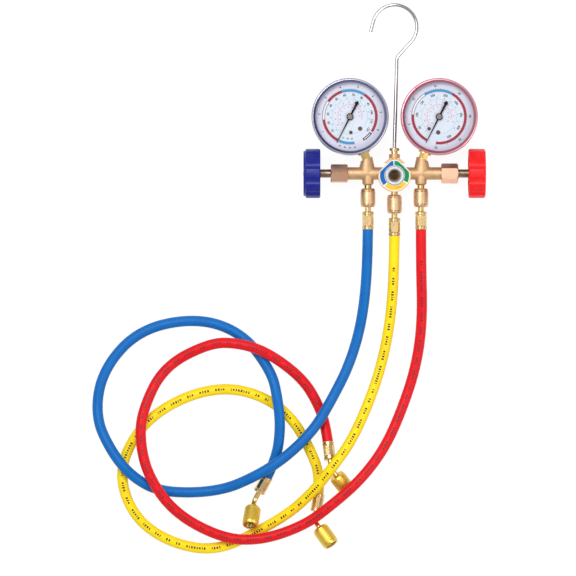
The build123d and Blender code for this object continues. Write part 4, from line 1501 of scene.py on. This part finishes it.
HOSES = (
    Hose(
        "low",
        HoseCover("low_hose_cover", srgb(4, 106, 186), srgb(4, 90, 168)),
        0.842,
        (
            (-25.2, -38, 23.6), (-25.2, -84, 23.6), (-30, -138, 10), (-42, -181, 5.5),
            (-60, -216, 15.5), (-76, -243, 18), (-101, -268, 21), (-128, -286, 18.5),
            (-166, -303, 5), (-221, -304, 5), (-249, -289, 15.8), (-269, -265, 16),
            (-285, -231, 5), (-278, -187, 5), (-243, -148, 5), (-187, -137, 5),
            (-144, -152, 5), (-117, -188, 12), (-111, -213, 18.5), (-108, -243, 13),
            (-113, -275, 9), (-128, -302, 6),
        ),
    ),
    Hose(
        "service",
        HoseCover("service_hose_cover", srgb(252, 222, 18), srgb(246, 206, 12)),
        0.822,
        (
            (0, -44, 23.6), (0, -90, 23.6), (-4, -145, 8), (-14, -190, 6),
            (-28, -227, 15), (-42, -256, 24.5), (-58, -278, 26.5), (-76, -301, 18),
            (-98, -322, 7), (-128, -340, 5), (-170, -360, 5), (-216, -351, 5),
            (-250, -325, 5), (-263, -282, 5), (-242, -240, 5), (-205, -214, 5),
            (-163, -203, 5), (-126, -211, 5), (-98, -231, 5), (-80, -262, 5),
            (-69.5, -290.5, 5.3), (-74, -320, 8),
        ),
        groups=(2, 3, 4, 5, 3, 4, 4, 8, 2),
    ),
    Hose(
        "high",
        HoseCover("high_hose_cover", srgb(226, 18, 30), srgb(208, 12, 24)),
        0.852,
        (
            (25.2, -38, 23.6), (25.2, -84, 23.6), (27, -140, 8), (21, -184, 5),
            (7, -226, 6), (-9, -261, 15), (-31, -290, 23.5), (-58, -314, 23),
            (-86, -335, 17), (-127, -349, 15.5), (-164, -347, 15.5), (-209, -323, 18),
            (-234, -288, 19), (-242, -255, 16), (-240, -226, 15.5), (-220, -184, 5),
            (-176, -161, 14), (-148, -161, 20), (-120, -170, 20), (-87, -195, 6),
            (-72, -220, 5), (-64.5, -242, 5), (-61.2, -270.6, 13.5),
        ),
        groups=(2, 8, 4, 4, 3, 5, 3, 4, 2),
        ink=srgb(112, 10, 18),
    ),
)

PINK_ROW = 9.3 * MM
PINK_OUTER_ROW = 13.9 * MM
CYAN_ROW = 18.0 * MM
INNER_ROW = 20.9 * MM
OUTER_ROW = 29.2 * MM
FIGURE = 2.9 * MM
SMALL_FIGURE = 2.0 * MM
TINY_FIGURE = 1.5 * MM


def numbered(first: float, step: float, numbers: Iterable[int]) -> tuple[tuple[str, float], ...]:
    """Space numbers evenly round a dial.

    Args:
        first: the first number's angle in degrees clockwise from the top.
        step: degrees from number to number.
        numbers: what is written.

    Returns:
        Pairs of a number and its angle.
    """
    return tuple((str(number), first + step * index) for index, number in enumerate(numbers))


GAUGES = (
    Gauge(
        "low",
        # Bezel colours: painted reflection on the rim, painted shade on the band.
        rim=srgb(182, 182, 200),
        band=srgb(66, 72, 112),
        slope=srgb(150, 152, 186),
        adjuster=(9.64 * MM, -11.31 * MM),
        arcs=(
            Arc(305, 342, Band.RED), Arc(342, 33, Band.BLUE), Arc(33, 124, Band.RED),
            Arc(127, 150, Band.BOXED), Arc(170, 205, Band.BLUE), Arc(207, 264, Band.RED),
            Arc(264, 305, Band.WHITE),
        ),
        scales=(
            Scale(numbered(231, 23, range(10, 130, 10)), INNER_ROW, FIGURE),
            Scale(numbered(197, -11, (10, 20, 30)), INNER_ROW, SMALL_FIGURE),
            Scale(numbered(241.4, 33.4, range(1, 9)), OUTER_ROW, FIGURE),
            Scale(numbered(199, -9.5, (20, 40, 60, 76)), OUTER_ROW, SMALL_FIGURE),
            Scale(numbered(230, 24, range(-40, 60, 10)), PINK_ROW, TINY_FIGURE, Ink.PINK),
            Scale(numbered(236, 24, range(-30, 60, 10)), PINK_OUTER_ROW, TINY_FIGURE, Ink.PINK),
            Scale(numbered(225, 21, range(-40, 80, 10)), CYAN_ROW, TINY_FIGURE, Ink.CYAN),
        ),
        ticks=(
            Graduations(208, 485, 60, 5, 26.3 * MM, 0.7 * MM, 1.5 * MM),
            Graduations(170, 205, 7, 2, 26.3 * MM, 0.7 * MM, 1.3 * MM),
            Graduations(208, 484, 24, 2, 22.4 * MM, 0.7 * MM, 1.2 * MM),
        ),
    ),
    Gauge(
        "high",
        # Bezel colours: painted reflection on the rim, painted shade on the band.
        rim=srgb(226, 164, 176),
        band=srgb(172, 84, 108),
        slope=srgb(206, 148, 164),
        adjuster=(-0.92 * MM, -14.83 * MM),
        arcs=(
            Arc(208, 275, Band.RED), Arc(275, 326.5, Band.WHITE), Arc(326.5, 30, Band.BLUE),
            Arc(30, 187, Band.RED),
        ),
        scales=(
            Scale(numbered(241, 34, range(50, 500, 50)), INNER_ROW, FIGURE),
            Scale(numbered(256, 48.3, range(5, 40, 5)), OUTER_ROW, FIGURE),
            Scale(numbered(226, 25, range(-20, 90, 10)), PINK_ROW, TINY_FIGURE, Ink.PINK),
            Scale(numbered(230, 24, range(-30, 80, 10)), PINK_OUTER_ROW, TINY_FIGURE, Ink.PINK),
            Scale(numbered(222, 22, range(-20, 110, 10)), CYAN_ROW, TINY_FIGURE, Ink.CYAN),
        ),
        ticks=(
            Graduations(208, 547, 70, 5, 26.3 * MM, 0.7 * MM, 1.5 * MM),
            Graduations(207, 547, 20, 2, 22.4 * MM, 0.7 * MM, 1.2 * MM),
        ),
    ),
)


METALS = (
    Metal("zinc_steel", srgb(190, 190, 194), srgb(150, 150, 156)),
    Metal("hook_wire", srgb(198, 192, 194), srgb(160, 152, 154), 0.12),
    Metal("stem_steel", srgb(150, 128, 108), srgb(100, 82, 68), 0.34),
    Metal("gland_brass", srgb(238, 190, 160), srgb(216, 162, 132), 0.32, blotches=90.0),
    Metal("turned_brass", srgb(238, 204, 138), srgb(206, 164, 96), 0.2),
    Metal("bright_brass", srgb(246, 218, 160), srgb(222, 184, 118), 0.18),
    Metal("crimped_brass", srgb(232, 204, 150), srgb(196, 158, 104), 0.24),
    Metal("dial_screw_metal", srgb(112, 90, 80), srgb(70, 54, 48), 0.6),
    Metal("sight_steel", srgb(206, 206, 212), srgb(184, 186, 194), 0.6),
    Metal("case_steel", srgb(160, 162, 172), srgb(142, 144, 156), 0.34, 60.0, 0.3),
    Metal("stem_brass", srgb(255, 226, 146), srgb(242, 200, 112)),
    Metal("tube_bronze", srgb(186, 130, 84), srgb(140, 92, 56)),
    Metal("movement_brass", srgb(212, 180, 96), srgb(170, 134, 60)),
)

SHARED_NODES = {
    "gland_brass": ("packing_nuts",),
    "bright_brass": ("hook_nut", "port_tailpieces"),
    "turned_brass": ("core_depressors", "low_end_pipe", "service_end_pipe", "high_end_pipe"),
    "crimped_brass": ("hose_ferrules",),
    "hook_wire": ("hook",),
    "zinc_steel": ("movement_screws",),
    "dial_screw_metal": ("dial_screws",),
    "sight_steel": ("sight_ring",),
    "white_packing": ("stem_packings",),
    "black_rubber": ("port_gaskets", "end_gaskets"),
}


def main() -> None:
    """Build and dress the whole set."""
    logging.basicConfig(level=logging.INFO, format="%(name)s: %(message)s")
    Studio().build()
    for hose in HOSES:
        hose.build()

    finishes = [
        *METALS,
        Plain("white_packing", srgb(228, 226, 218)),
        Plain("black_rubber", srgb(24, 24, 26), 0.7),
        Glass("lens_clear", srgb(24, 26, 34), 0.04),
    ]
    shared = {finish.name: finish.material() for finish in finishes}
    turned = shared["turned_brass"]
    brass = Casting("cast_brass", srgb(214, 176, 134), srgb(182, 144, 104))
    dress(brass.material(), "manifold_body")
    dress_necks(turned)
    for name, nodes in SHARED_NODES.items():
        dress(shared[name], *nodes)
    low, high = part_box("sight_ring")
    centre = (low + high) / 2
    SightLabel(centre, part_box("sight_label")[0].z).build()
    dress(SightGlass("sight_glass", tuple(centre)).material(), "sight_window")

    for colour in Ink:
        ink = Plain(f"dial_ink_{colour.name.lower()}", colour.value)
        shared[colour.name] = ink.material()
    for gauge in GAUGES:
        gauge.build(shared)

    knobs = {
        "low": Plastic("low_knob_blue", srgb(10, 22, 126), srgb(24, 40, 150)),
        "high": Plastic("high_knob_red", srgb(236, 12, 18), srgb(244, 40, 42)),
    }
    for side, finish in knobs.items():
        valve = HandValve(side, finish)
        valve.build(shared["zinc_steel"], shared["stem_steel"], shared["white_packing"])

    for name in ("low", "service", "high"):
        FreeEnd(name).build(turned)
        swivel, way = joint_line(f"{name}_port_nut_swivel")
        low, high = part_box(f"{name}_port_nut")
        foot = (swivel.x, low.y, swivel.z)
        finish = Knurled(
            f"{name}_port_brass", srgb(230, 196, 156), srgb(204, 164, 122), foot, tuple(way),
            high.y - low.y, (high.x - low.x) / 2, relief=0.08,
        )
        dress(finish.material(), f"{name}_port_nut")

    scene = bpy.context.scene
    scene.view_settings.view_transform = "Standard"


if __name__ == "__main__":
    main()
